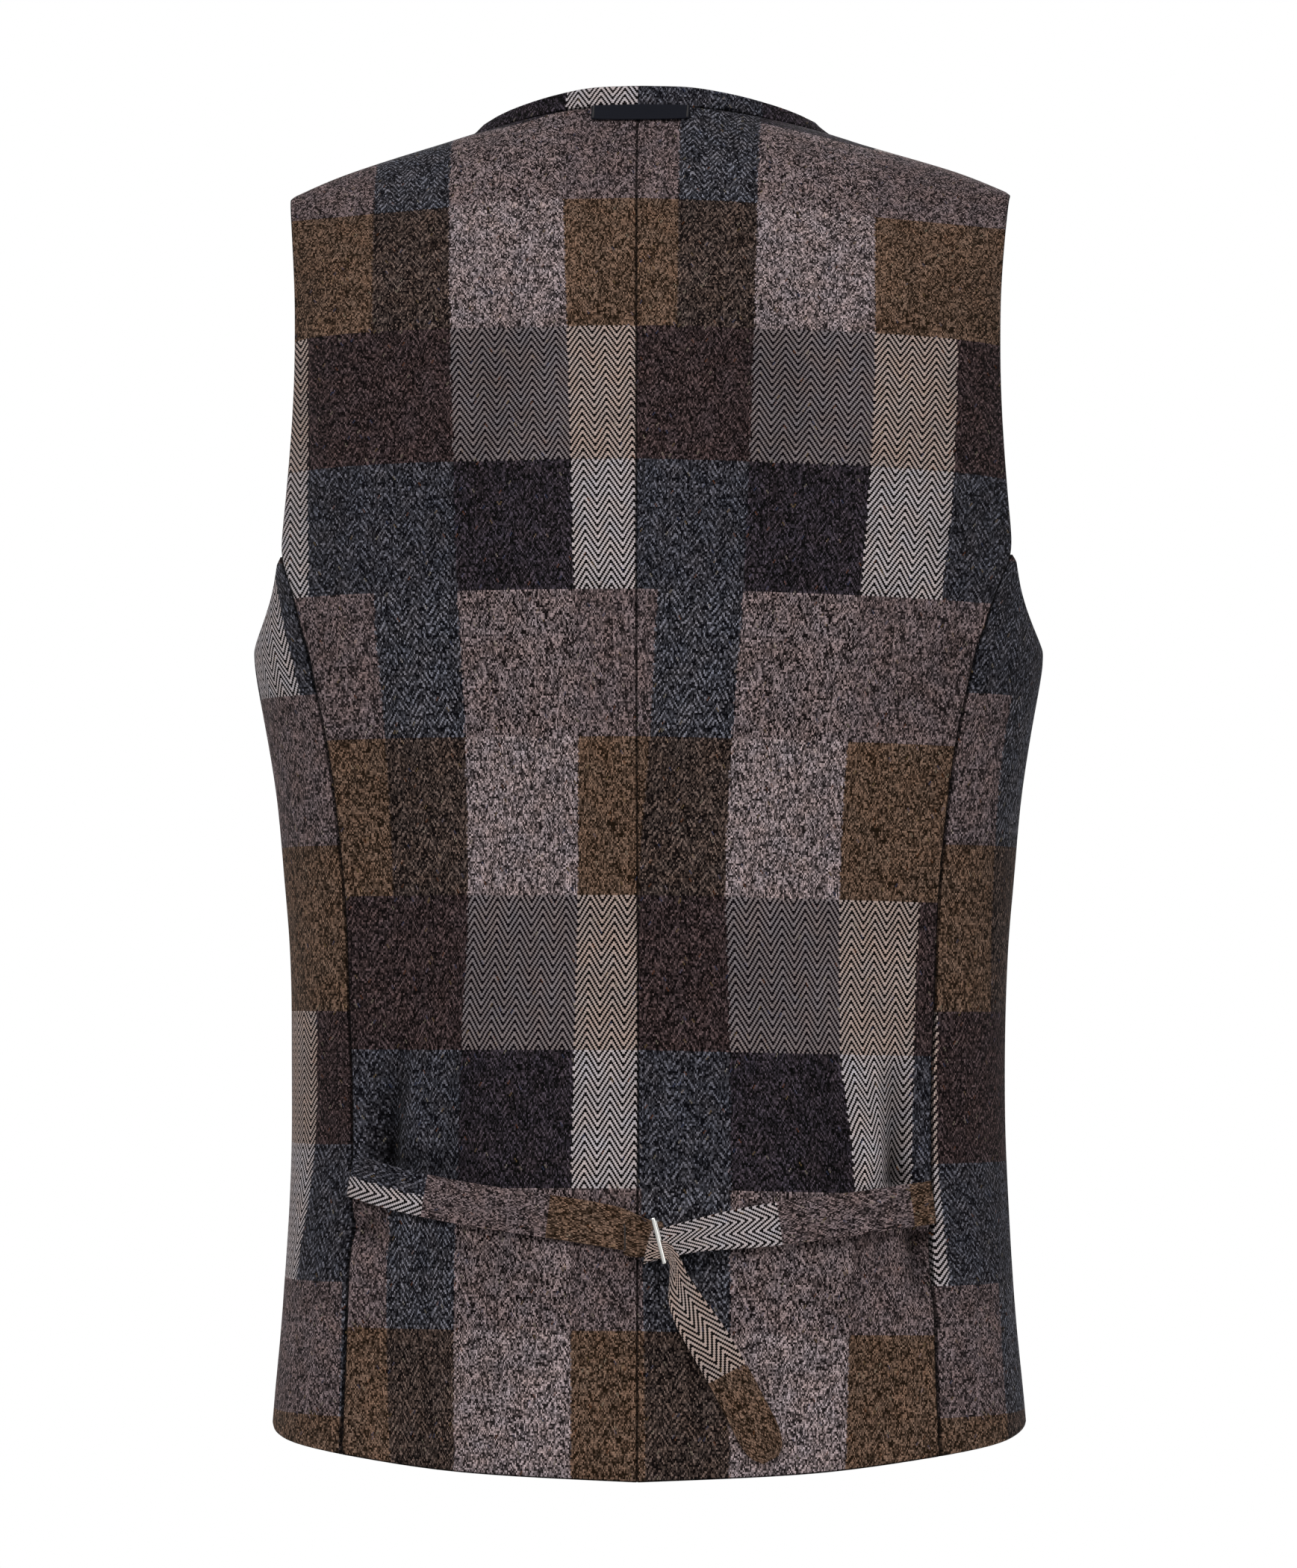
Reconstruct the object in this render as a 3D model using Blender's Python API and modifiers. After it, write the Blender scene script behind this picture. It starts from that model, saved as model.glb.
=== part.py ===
# Suit waistcoat of herringbone tweed, in its worn form with no wearer inside.
#
# The wearer faces -Y, the wearer's left is +X and up is +Z. The origin lies midway between the
# wearer's shoulders, at the height where the garment bears on them. Every table is in millimetres
# with heights counted from the middle of the back, and to_metres() moves a point into the frame.
import math

import bmesh
import bpy
from mathutils import Vector

for old in list(bpy.data.objects):
    bpy.data.objects.remove(old, do_unlink=True)

PARTS = bpy.data.collections.new("waistcoat")
bpy.context.scene.collection.children.link(PARTS)

MOUNT = 290.0  # the shoulders bear this far above the middle of the back
WALL = 2.0  # tweed, canvas and lining pressed together
GAP = 0.3  # between two pieces at a seam
SIDES = (("left", 1), ("right", -1))


def material(name, colour, roughness, metallic=0.0):
    made = bpy.data.materials.new(name)
    made.use_nodes = True
    shader = made.node_tree.nodes["Principled BSDF"]
    shader.inputs["Base Color"].default_value = (*colour, 1.0)
    shader.inputs["Roughness"].default_value = roughness
    shader.inputs["Metallic"].default_value = metallic
    return made


TWEED = material("tweed", (0.115, 0.092, 0.085), 0.9)
LABEL_CLOTH = material("label_cloth", (0.012, 0.014, 0.030), 0.8)
METAL = material("buckle_metal", (0.62, 0.62, 0.63), 0.25, 1.0)
HORN = material("button_horn", (0.035, 0.022, 0.016), 0.4)


# ---------------------------------------------------------------- sizes

def table(names, *rows):
    return [dict(zip(names, row)) for row in rows]


# Level sections of the filled body of cloth. Half is the half width, back and front are the
# depths at the centre lines, side is where the widest point lies, square is the power of the
# superellipse.
BODY = table(
    ("h", "half", "back", "front", "side", "square"),
    (-345, 180.0, 113.0, 118.0, 0.0, 2.40),
    (-295, 177.0, 112.5, 118.5, 0.0, 2.40),
    (-244, 172.0, 110.0, 117.5, 0.0, 2.42),
    (-193, 169.0, 106.0, 114.5, 0.0, 2.45),
    (-158, 168.0, 103.0, 112.0, 0.0, 2.45),
    (-123, 168.0, 102.0, 111.0, 0.0, 2.42),
    (-82, 169.0, 104.0, 113.0, 0.0, 2.38),
    (-48, 172.0, 108.0, 116.0, 0.0, 2.34),
    (-8, 175.5, 113.0, 120.0, 0.0, 2.30),
    (26, 181.0, 116.5, 124.0, 0.0, 2.26),
    (60, 186.5, 118.0, 127.0, 0.0, 2.22),
    (75, 183.2, 118.0, 127.5, -0.5, 2.20),
    (88.5, 179.6, 117.6, 127.0, -1.0, 2.20),
    (107, 177.5, 115.6, 125.5, -2.0, 2.20),
    (129, 175.0, 111.0, 122.0, -3.0, 2.20),
    (152, 173.0, 105.0, 117.5, -4.0, 2.20),
    (190, 171.5, 92.5, 107.0, -6.0, 2.20),
    (219, 172.0, 82.0, 96.0, -8.0, 2.20),
    (251, 173.0, 66.0, 82.0, -9.0, 2.20),
)
# The seam of back and side back, from the hem to the armhole.
PRINCESS = table(
    ("h", "x"),
    (-345, 139.0), (-307, 137.3), (-270, 135.7), (-228, 134.7), (-187, 133.5), (-138, 133.5),
    (-112, 134.9), (-63, 136.6), (-24, 140.0), (18.7, 145.7), (50, 153.0), (70, 158.6),
    (90, 165.0), (107, 172.4), (120, 177.0),
)
# The back's free edge from the princess seam up.
BACK_ARMHOLE = table(
    ("h", "x"),
    (100, 173.2), (107, 172.4), (129, 170.3), (149, 168.9), (170, 167.4), (190, 166.5),
    (219, 166.9), (240, 168.2),
)
# The front's button edge, past the centre line, then its neck opening.
FRONT_EDGE = table(
    ("h", "x"),
    (-345, -17.0), (18, -17.0), (33, -13.5), (50, -6.5), (80, 8.0), (130, 29.5), (190, 51.0),
    (225, 62.0),
)
SIDE_SEAM = table(
    ("h", "y"),
    (-345, -2.0), (-295, -2.0), (-228, 7.5), (-180, 9.5), (-140, 8.5), (-60, -2.0), (0, -4.0),
    (40, 3.0), (60, 4.0),
)
# Height of the hem over the share of the way round from the centre back, with the front's point.
HEM = table(
    ("h", "z"),
    (0.0, -319.0), (0.16, -315.5), (0.30, -308.8), (0.40, -304.2), (0.47, -300.0), (0.56, -299.0),
    (0.68, -305.0), (0.80, -316.0), (0.865, -326.0), (0.895, -328.0), (0.925, -322.0),
    (0.965, -301.0), (1.0, -284.0), (1.035, -268.0), (1.05, -262.0),
)
# The back's top edge, h being the share of the way along: round the neck, then the shoulder.
NECK_SEAM = table(
    ("h", "x", "y", "z"),
    (0.00, 0.0, 25.0, 317.5), (0.20, 20.0, 23.5, 317.2), (0.43, 41.0, 17.5, 315.8),
    (0.66, 60.0, 8.0, 312.6), (0.85, 75.0, -2.0, 309.9), (1.00, 86.0, -12.0, 307.2),
)
NECK_TOP = table(
    ("h", "x", "y", "z"),
    (0.00, 0.0, 19.5, 327.6), (0.22, 20.0, 18.3, 327.2), (0.46, 41.0, 12.5, 324.5),
    (0.72, 62.0, 1.5, 319.9), (0.86, 71.5, -5.5, 316.9), (1.00, 79.5, -12.5, 313.4),
)
SHOULDER_SEAM = table(
    ("h", "x", "y", "z"),
    (0.00, 86.0, -12.0, 307.2), (0.30, 110.0, -12.6, 300.2), (0.65, 140.0, -13.0, 291.3),
    (0.92, 164.0, -13.0, 283.2), (1.00, 171.0, -13.0, 279.2),
)
# The centre back seam hangs a little to the wearer's left near the neck.
CENTRE_BACK = table(("h", "x"), (60, 0.0), (90, 0.1), (219, 1.8), (300, 4.0), (320, 4.2))

# Rows of every panel, shared so that both sides of a seam have the same corners.
LEVELS = [-228.0 + 20 * i for i in range(15)]
UNDERARM = [61.0, 70.0, 79.0, 88.0, 97.0]
BACK_TOP = 219.0  # above this the back runs over the shoulder instead of round a section
PRINCESS_END = 107.0
BACK_LEVELS = LEVELS + UNDERARM + [PRINCESS_END - 0.1, 125.0, 145.0, 166.0, 191.0]
HEM_LEVEL = -300.0  # where the seams' places at the hem are read
HEM_ROWS = 5
BACK_COLUMNS, BACK_HIGH_ROWS = 9, 7
SIDE_COLUMNS = 4
FRONT_COLUMNS, FRONT_HIGH_ROWS = 12, 6
NECK_SHARE = 0.5  # the share of the back's top edge that is neck seam
BAND_SHARE = 0.08  # the share of the front's top edge that meets the neck band

# Heights of a slanted row at its two ends. y is given where the outer end lies on the armhole.
SIDE_TOP = table(
    ("inner", "outer", "y"),
    (61.0, 60.0, None), (70.0, 61.8, 11.0), (79.0, 66.5, 19.5), (88.0, 75.0, 26.5),
    (97.0, 88.0, 30.2), (105.3, 103.5, 30.6),
)
FRONT_TOP = table(
    ("outer", "inner", "y"),
    (60.0, 68.0, None), (61.8, 78.0, -20.0), (65.5, 88.0, -35.0), (73.0, 99.0, -48.0),
    (85.0, 111.0, -58.5), (101.0, 124.0, -66.0), (122.0, 142.0, -70.5), (145.0, 160.0, -71.0),
    (168.0, 176.0, -68.0), (186.0, 186.0, -63.2), (190.0, 190.0, -62.5),
)

# The ways in which the cloth runs as it reaches the neck seam and goes over the shoulder.
UP_THE_NECK = Vector((0.0, -0.56, 0.83))
OVER_SHOULDER = Vector((-0.10, -0.98, -0.16))
OVER_SHOULDER_END = Vector((0.0, -0.98, -0.24))


# ---------------------------------------------------------------- curves

def track(rows, name):
    """One named column as a smooth function of h that never overshoots its rows."""
    at = [row["h"] for row in rows]
    value = [row[name] for row in rows]
    step = [(value[i + 1] - value[i]) / (at[i + 1] - at[i]) for i in range(len(at) - 1)]
    slope = [step[0]]
    for before, after in zip(step, step[1:]):
        slope.append(0.0 if before * after <= 0 else 2 * before * after / (before + after))
    slope.append(step[-1])

    def value_at(h):
        if h <= at[0]:
            return value[0] + slope[0] * (h - at[0])
        if h >= at[-1]:
            return value[-1] + slope[-1] * (h - at[-1])
        i = max(k for k in range(len(at) - 1) if at[k] <= h)
        span = at[i + 1] - at[i]
        return hermite(value[i], value[i + 1], slope[i] * span, slope[i + 1] * span, (h - at[i]) / span)

    return value_at


def hermite(start, end, start_way, end_way, t):
    return (
        start * (2 * t**3 - 3 * t**2 + 1)
        + end * (3 * t**2 - 2 * t**3)
        + start_way * (t**3 - 2 * t**2 + t)
        + end_way * (t**3 - t**2)
    )


def ease(t):
    t = min(max(t, 0.0), 1.0)
    return t * t * (3 - 2 * t)


def mix(a, b, t):
    return a + (b - a) * t


def vector_track(rows):
    x, y, z = (track(rows, name) for name in "xyz")
    return lambda at: Vector((x(at), y(at), z(at)))


body = {name: track(BODY, name) for name in BODY[0] if name != "h"}
princess_x = track(PRINCESS, "x")
armhole_x = track(BACK_ARMHOLE, "x")
front_edge_x = track(FRONT_EDGE, "x")
side_seam_y = track(SIDE_SEAM, "y")
hem_z = track(HEM, "z")
centre_drift = track(CENTRE_BACK, "x")
neck_seam = vector_track(NECK_SEAM)
neck_top = vector_track(NECK_TOP)
shoulder_seam = vector_track(SHOULDER_SEAM)


# ---------------------------------------------------------------- the body's sections

RING_STEPS = 96
rings = {}


def ring(h):
    """Half a section, centre back to centre front on the +X side: points and length so far."""
    key = round(h, 3)
    if key not in rings:
        half, back, front, side, square = (body[name](h) for name in body)
        points = []
        for i in range(RING_STEPS + 1):
            angle = math.pi * i / RING_STEPS
            x = half * abs(math.sin(angle)) ** (2 / square)
            run = abs(math.cos(angle)) ** (2 / square)
            y = side + (back - side) * run if angle < math.pi / 2 else side - (front + side) * run
            points.append((x if 0 < i < RING_STEPS else 0.0, y))
        length = [0.0]
        for a, b in zip(points, points[1:]):
            length.append(length[-1] + math.dist(a, b))
        rings[key] = (points, length)
    return rings[key]


def seam_trim(h):
    """Half a seam's gap as a share of the half section."""
    return GAP / 2 / ring(h)[1][-1]


def skin(u, h):
    """The outside of the cloth at share u of the half section: 0 centre back, 1 centre front."""
    turn = -1.0 if u < 0 or u > 1 else 1.0
    u = -u if u < 0 else 2 - u if u > 1 else u
    points, length = ring(h)
    want = u * length[-1]
    low, high = 0, RING_STEPS
    while high - low > 1:
        middle = (low + high) // 2
        low, high = (middle, high) if length[middle] <= want else (low, middle)
    t = (want - length[low]) / (length[high] - length[low])
    (x0, y0), (x1, y1) = points[low], points[high]
    return Vector((turn * mix(x0, x1, t), mix(y0, y1, t), h))


def skin_normal(u, h):
    across = skin(u + 0.006, h) - skin(u - 0.006, h)
    up = skin(u, h + 2) - skin(u, h - 2)
    return up.cross(across).normalized()


def share_of(h, reached):
    """The share u at which reached(x, y) first holds, walking from the centre back."""
    points, length = ring(h)
    for i in range(1, RING_STEPS + 1):
        after = reached(*points[i])
        if after >= 0:
            before = reached(*points[i - 1])
            t = before / (before - after) if before != after else 0.0
            return mix(length[i - 1], length[i], t) / length[-1]
    return 1.0


def u_back(h, x):
    return share_of(h, lambda px, py: px - x if py > body["side"](h) else 1.0)


def u_front(h, x):
    u = share_of(h, lambda px, py: abs(x) - px if py < body["side"](h) else -1.0)
    return u if x >= 0 else 2 - u


def u_depth(h, y):
    return share_of(h, lambda px, py: y - py)


# ---------------------------------------------------------------- panels, as rows of (point, normal)

def slanted(u_start, h_start, u_end, h_end, columns):
    row = []
    for j in range(columns + 1):
        u = mix(u_start, u_end, j / columns)
        h = mix(h_start, h_end, j / columns)
        row.append((skin(u, h), skin_normal(u, h)))
    return row


def hem_rows(ends, columns):
    """Rows from the curved hem up to the first level. ends(h) gives both edges' shares."""
    rows = []
    for i in range(HEM_ROWS):
        row = []
        for j in range(columns + 1):
            h = mix(hem_z(mix(*ends(HEM_LEVEL), j / columns)), LEVELS[0], i / HEM_ROWS)
            u = mix(*ends(h), j / columns)
            row.append((skin(u, h), skin_normal(u, h)))
        rows.append(row)
    return rows


def back_u(s, h):
    """Where the back lies at share s of its width, from the centre back, at height h."""
    seamed = h < PRINCESS_END
    edge = u_back(h, princess_x(h)) - seam_trim(h) if seamed else u_back(h, armhole_x(h))
    return mix(seam_trim(h), edge, s)


def back_low(s, h, side):
    point = skin(back_u(s, h), h)
    if h > CENTRE_BACK[0]["h"]:
        point.x += side * centre_drift(h) * (1 - s)
    return point


def back_top_edge(s):
    """The end of the back at the neck or shoulder, and the way the cloth runs there."""
    if s < NECK_SHARE:
        v = s / NECK_SHARE
        return neck_seam(v), UP_THE_NECK.lerp(OVER_SHOULDER, ease(v)).normalized()
    w = (s - NECK_SHARE) / (1 - NECK_SHARE)
    return shoulder_seam(w), OVER_SHOULDER.lerp(OVER_SHOULDER_END, w).normalized()


def back_high(s, t, side):
    """The back above BACK_TOP: t runs 0 to 1 up to the neck seam and over the shoulder."""
    start = back_low(s, BACK_TOP, side)
    rise = (start - back_low(s, BACK_TOP - 4, side)).normalized()
    end, way = back_top_edge(s)
    end = end - way * (GAP / 2)
    end.x += (side * centre_drift(MOUNT) + GAP / 2) * max(1 - s / NECK_SHARE, 0.0)
    reach = (end - start).length
    bend = ease((s - 0.25) / 0.35)
    return hermite(start, end, rise * reach * mix(1.0, 1.12, bend), way * reach * mix(1.0, 0.92, bend), t)


def back_high_normal(s, t, side):
    e = 0.01
    across = back_high(min(s + e, 1.0), t, side) - back_high(max(s - e, 0.0), t, side)
    up = back_high(s, min(t + e, 1.0), side) - back_high(s, min(t, 1.0 - e), side)
    normal = up.cross(across)
    if s == 0:
        normal.x = 0.0
    return normal.normalized()


def back_rows(side):
    shares = [j / BACK_COLUMNS for j in range(BACK_COLUMNS + 1)]
    rows = hem_rows(lambda h: (back_u(0, h), back_u(1, h)), BACK_COLUMNS)
    for h in BACK_LEVELS:
        rows.append([(back_low(s, h, side), skin_normal(back_u(s, h), h)) for s in shares])
    for i in range(BACK_HIGH_ROWS + 1):
        t = i / BACK_HIGH_ROWS
        rows.append([(back_high(s, t, side), back_high_normal(s, t, side)) for s in shares])
    return rows


def side_rows():
    """The side back, from the princess seam to the side seam, then along the armhole."""

    def ends(h):
        trim = seam_trim(h)
        return u_back(h, princess_x(h)) + trim, u_depth(h, side_seam_y(h)) - trim

    rows = hem_rows(ends, SIDE_COLUMNS)
    for h in LEVELS:
        rows.append(slanted(ends(h)[0], h, ends(h)[1], h, SIDE_COLUMNS))
    for top in SIDE_TOP:
        inner, outer = top["inner"], top["outer"]
        u_outer = ends(outer)[1] if top["y"] is None else u_depth(outer, top["y"])
        rows.append(slanted(ends(inner)[0], inner, u_outer, outer, SIDE_COLUMNS))
    return rows


def front_ends(h):
    return u_depth(h, side_seam_y(h)) + seam_trim(h), u_front(h, front_edge_x(h))


def front_rows():
    """The front, from the side seam or armhole to the button edge or neck opening."""
    rows = hem_rows(front_ends, FRONT_COLUMNS)
    for h in LEVELS:
        rows.append(slanted(front_ends(h)[0], h, front_ends(h)[1], h, FRONT_COLUMNS))
    for top in FRONT_TOP:
        inner, outer = top["inner"], top["outer"]
        u_outer = front_ends(outer)[0] if top["y"] is None else u_depth(outer, top["y"])
        rows.append(slanted(u_outer, outer, front_ends(inner)[1], inner, FRONT_COLUMNS))
    before, last = rows[-2:]
    del rows[-2]

    def high(j, t):
        start = last[j][0]
        rise = (start - before[j][0]).normalized()
        end, way = shoulder_end(j / FRONT_COLUMNS)
        end = end + way * (GAP / 2)
        reach = (end - start).length
        return hermite(start, end, rise * reach * 1.05, way * -reach * 0.85, t)

    for i in range(1, FRONT_HIGH_ROWS + 1):
        t = i / FRONT_HIGH_ROWS
        row = []
        for j in range(FRONT_COLUMNS + 1):
            across = high(min(j + 1, FRONT_COLUMNS), t) - high(max(j - 1, 0), t)
            up = high(j, min(t + 0.01, 1.0)) - high(j, t - 0.01)
            row.append((high(j, t), up.cross(across).normalized()))
        rows.append(row)
    return rows


def shoulder_end(s):
    """The front's end on the shoulder: sleeve end at s 0, the band's top edge at s 1."""
    seam_share = 1 - BAND_SHARE
    if s < seam_share:
        w = 1 - s / seam_share
        return shoulder_seam(w), OVER_SHOULDER.lerp(OVER_SHOULDER_END, w).normalized()
    t = (s - seam_share) / BAND_SHARE
    return shoulder_seam(0).lerp(neck_top(1), t), OVER_SHOULDER.normalized()


BAND_COLUMNS, BAND_ROWS, BAND_END = 12, 2, 0.985


def band_rows(side):
    """The strip round the back neck, cut on from each front: centre back to shoulder."""

    def at(v, t):
        low, top = neck_seam(v), neck_top(v)
        point = (low + (top - low).normalized() * GAP).lerp(top, t)
        point.x += (side * centre_drift(MOUNT) + GAP / 2) * (1 - v)
        return point

    over = OVER_SHOULDER.normalized()
    rows = []
    for i in range(BAND_ROWS + 1):
        t = i / BAND_ROWS
        row = []
        for j in range(BAND_COLUMNS + 1):
            v = BAND_END * j / BAND_COLUMNS
            across = at(min(v + 0.01, 1), t) - at(max(v - 0.01, 0), t)
            normal = (at(v, 1) - at(v, 0)).cross(across).normalized()
            if j == 0:
                normal.x = 0.0
            normal -= over * normal.dot(over) * ease((v - 0.6) / 0.38)
            row.append((at(v, t), normal.normalized()))
        rows.append(row)
    return rows


# ---------------------------------------------------------------- solids

def to_metres(point, side=1):
    return Vector((side * point.x, point.y, point.z - MOUNT)) * 0.001


def add_object(name, bm, looks):
    bmesh.ops.recalc_face_normals(bm, faces=bm.faces)
    mesh = bpy.data.meshes.new(name)
    bm.to_mesh(mesh)
    bm.free()
    mesh.materials.append(looks)
    obj = bpy.data.objects.new(name, mesh)
    PARTS.objects.link(obj)
    return obj


def thick_sheet(name, rows, looks, side=1, windows=()):
    """A closed wall from rows of (point of the outside, step from it to the inside).

    A grid takes the outside's points and is extruded by the steps. windows are the cells of the
    grid, as (column, row), that stay open.
    """
    high, wide = len(rows) - 1, len(rows[0]) - 1
    bm = bmesh.new()
    inwards = bm.verts.layers.float_vector.new("inwards")
    bmesh.ops.create_grid(bm, x_segments=wide, y_segments=high, size=1)
    open_cells = []
    for face in bm.faces:
        middle = face.calc_center_median()
        if (int((middle.x + 1) / 2 * wide), int((middle.y + 1) / 2 * high)) in windows:
            open_cells.append(face)
    for vert in bm.verts:
        column, row = round((vert.co.x + 1) / 2 * wide), round((vert.co.y + 1) / 2 * high)
        point, step = rows[row][column]
        vert.co = to_metres(point, side)
        vert[inwards] = Vector((side * step.x, step.y, step.z)) * 0.001
    bmesh.ops.delete(bm, geom=open_cells, context="FACES_ONLY")
    grown = bmesh.ops.extrude_face_region(bm, geom=bm.faces[:] + bm.edges[:], use_keep_orig=True)
    for vert in grown["geom"]:
        if isinstance(vert, bmesh.types.BMVert):
            vert.co += vert[inwards]
    bm.verts.layers.float_vector.remove(inwards)
    return add_object(name, bm, looks)


def walled(rows, sink=None):
    """A panel's rows with the step through the wall, and the whole pushed in by sink(point)."""
    out = []
    for row in rows:
        out.append([(p - n * (sink(p) if sink else 0.0), n * -WALL) for p, n in row])
    return out


def curve_through(stations, name, pace):
    """A smooth run through one column of the stations, about every pace mm of their path."""
    value = [station[name] for station in stations]
    gap = [(b["at"] - a["at"]).length for a, b in zip(stations, stations[1:])]
    slope = [(b - a) * (1 / d) for a, b, d in zip(value, value[1:], gap)]
    inner = []
    for i in range(len(gap) - 1):
        weighted = slope[i] * gap[i + 1] + slope[i + 1] * gap[i]
        inner.append(weighted * (1 / (gap[i] + gap[i + 1])))
    slope = [slope[0], *inner, slope[-1]]
    out = []
    for i, d in enumerate(gap):
        count = max(1, round(d / pace))
        for k in range(count):
            out.append(hermite(value[i], value[i + 1], slope[i] * d, slope[i + 1] * d, k / count))
    out.append(value[-1])
    return out


STRAP_PACE = 8.0  # between two sections of a strap


def strap(name, stations, looks):
    """A flat strap through stations of at (a point), across (its width way), width and thick."""
    at, across, width, thick = (
        curve_through(stations, column, STRAP_PACE) for column in ("at", "across", "width", "thick")
    )
    rows = []
    for i, point in enumerate(at):
        along = (at[min(i + 1, len(at) - 1)] - at[max(i - 1, 0)]).normalized()
        way = across[i].normalized()
        out = along.cross(way).normalized()
        face = point + out * thick[i] / 2
        rows.append([(face + way * width[i] * share, out * -thick[i]) for share in (-0.5, 0.0, 0.5)])
    return thick_sheet(name, rows, looks)


# ---------------------------------------------------------------- body panels and neck band

def underlap(point):
    """How far the right front lies beneath the left one along the button line."""
    depth = WALL + 0.45
    return depth * ease((44 - point.x) / 20) * (1 - ease((point.z - 55) / 55))


for word, side in SIDES:
    thick_sheet("back_" + word, walled(back_rows(side)), TWEED, side)
    thick_sheet("side_back_" + word, walled(side_rows()), TWEED, side)
    thick_sheet("neck_band_" + word, walled(band_rows(side)), TWEED, side)
thick_sheet("front_left", walled(front_rows()), TWEED)
thick_sheet("front_right", walled(front_rows(), underlap), TWEED, -1)


# ---------------------------------------------------------------- blank label tab on the back

LABEL_LONG, LABEL_HIGH, LABEL_THICK = 46.0, 9.4, 0.8
LABEL_MIDDLE = 2.4  # its middle's distance from the body's centre line
LABEL_BELOW_SEAM = 0.9
LABEL_LIFT = 0.85
LABEL_STATIONS = 9


def neck_share_at(x):
    """The share of the neck seam at distance x from the centre back."""
    low, high = 0.0, 1.0
    for _ in range(20):
        middle = (low + high) / 2
        low, high = (middle, high) if neck_seam(middle).x < x else (low, middle)
    return low


def label_tab():
    stations = []
    for k in range(LABEL_STATIONS):
        x = LABEL_MIDDLE + LABEL_LONG * (k / (LABEL_STATIONS - 1) - 0.5)
        edge, way = back_top_edge(neck_share_at(abs(x - centre_drift(MOUNT))) * NECK_SHARE)
        edge.x = x
        out = Vector((0, way.z, -way.y)).normalized()
        at = edge - way * (LABEL_HIGH / 2 + LABEL_BELOW_SEAM) + out * LABEL_LIFT
        stations.append(dict(at=at, across=-way, width=LABEL_HIGH, thick=LABEL_THICK))
    strap("neck_label", stations, LABEL_CLOTH)


label_tab()


# ---------------------------------------------------------------- slider buckle

# The slider stands on edge. Its flat plane holds the bars' way, down the back, and the way out
# of the cloth, and the way of its thickness points to the wearer's right.
BAR_MIDDLE = (-10.2, -211.3)  # x and height of the outer bar's middle
BAR_WAY = (-0.244, -0.970)
THICK_WAY = (-0.970, 0.244)
BAR = 1.8  # each bar's height and thickness
BAR_LIFTS = (3.0, 8.6, 12.2)  # of the left strap's bar, the middle one and the outer one
SLIDER_LEAN = 1.0  # how far the outer bar leans over from the left strap's
SLIDER_ALONG = (-10.9, -9.7, 9.2, 10.4)  # its ends and its windows' ends, along the bars
SLIDER_ROUNDING = 0.0005


def back_frame(x, h):
    """The point of the back at x and height h, and the way out of the cloth there."""
    u = u_back(h, abs(x))
    point, normal = skin(u, h), skin_normal(u, h)
    if x < 0:
        point.x, normal.x = -point.x, -normal.x
    return point, normal


def on_back(x, h, lift):
    point, normal = back_frame(x, h)
    return point + normal * lift


def by_slider(along, across, lift):
    """x and height at a place along the slider's bars and across its thickness."""
    across += SLIDER_LEAN * (BAR_LIFTS[2] - lift) / (BAR_LIFTS[2] - BAR_LIFTS[0])
    return [BAR_MIDDLE[i] + BAR_WAY[i] * along + THICK_WAY[i] * across for i in (0, 1)]


def slider():
    rows = []
    for lift in BAR_LIFTS:
        for edge in (lift - BAR / 2, lift + BAR / 2):
            row = []
            for along in SLIDER_ALONG:
                near = on_back(*by_slider(along, -BAR / 2, edge), edge)
                far = on_back(*by_slider(along, BAR / 2, edge), edge)
                row.append((near, far - near))
            rows.append(row)
    made = thick_sheet("buckle", rows, METAL, windows=((1, 1), (1, 3)))
    rounding = made.modifiers.new("rounding", "BEVEL")
    rounding.width = SLIDER_ROUNDING
    rounding.segments = 2
    rounding.limit_method = "ANGLE"


slider()


# ---------------------------------------------------------------- belt straps

# The width way is (ax, az) along the cloth, and tilt lifts the strap's lower edge off the cloth.
BELT_COLUMNS = ("x", "h", "lift", "ax", "tilt", "az", "width", "thick")
LOOP_RADIUS = 2.0  # of the left strap's middle layer round its bar
LOOP_ALONG = -1.7
LOOP_WIDTH, LOOP_THICK = 15.2, 1.3


def round_bar():
    """The left strap's half turn round its bar, in the belt's columns."""
    x, h = by_slider(LOOP_ALONG, 0.0, BAR_LIFTS[0])
    rows = []
    for degrees in range(-90, 91, 30):
        across = LOOP_RADIUS * math.cos(math.radians(degrees))
        rise = LOOP_RADIUS * math.sin(math.radians(degrees))
        place = (x + THICK_WAY[0] * across, h + THICK_WAY[1] * across, BAR_LIFTS[0] + rise)
        rows.append((*place, BAR_WAY[0], 0, BAR_WAY[1], LOOP_WIDTH, LOOP_THICK))
    return rows


STRAP_LEFT = table(
    BELT_COLUMNS,
    (132.4, -182.1, 1.75, 0.20, 0, -0.98, 19.5, 2.2),
    (114.0, -187.0, 1.75, 0.17, 0, -0.98, 19.5, 2.2),
    (92.8, -191.5, 1.75, 0.14, 0, -0.99, 19.5, 2.2),
    (62.0, -196.6, 1.75, 0.12, 0, -0.99, 19.5, 2.2),
    (33.3, -200.6, 1.75, 0.10, 0, -0.99, 19.5, 2.2),
    (16.0, -203.4, 1.70, 0.05, 0, -1.00, 19.5, 2.1),
    (5.0, -205.6, 1.45, -0.03, 0, -1.00, 18.8, 1.8),
    (-3.0, -207.6, 1.10, -0.14, 0, -0.98, 16.4, 1.4),
    (-7.6, -208.6, 1.00, -0.22, 0, -0.97, 15.4, 1.3),
    *round_bar(),
    (-6.8, -209.4, 4.80, -0.18, 0, -0.98, 14.6, 1.3),
    (0.4, -209.0, 4.00, -0.06, 0, -1.00, 14.4, 1.4),
    (6.4, -208.6, 3.80, -0.03, 0, -1.00, 14.0, 1.5),
)
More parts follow.
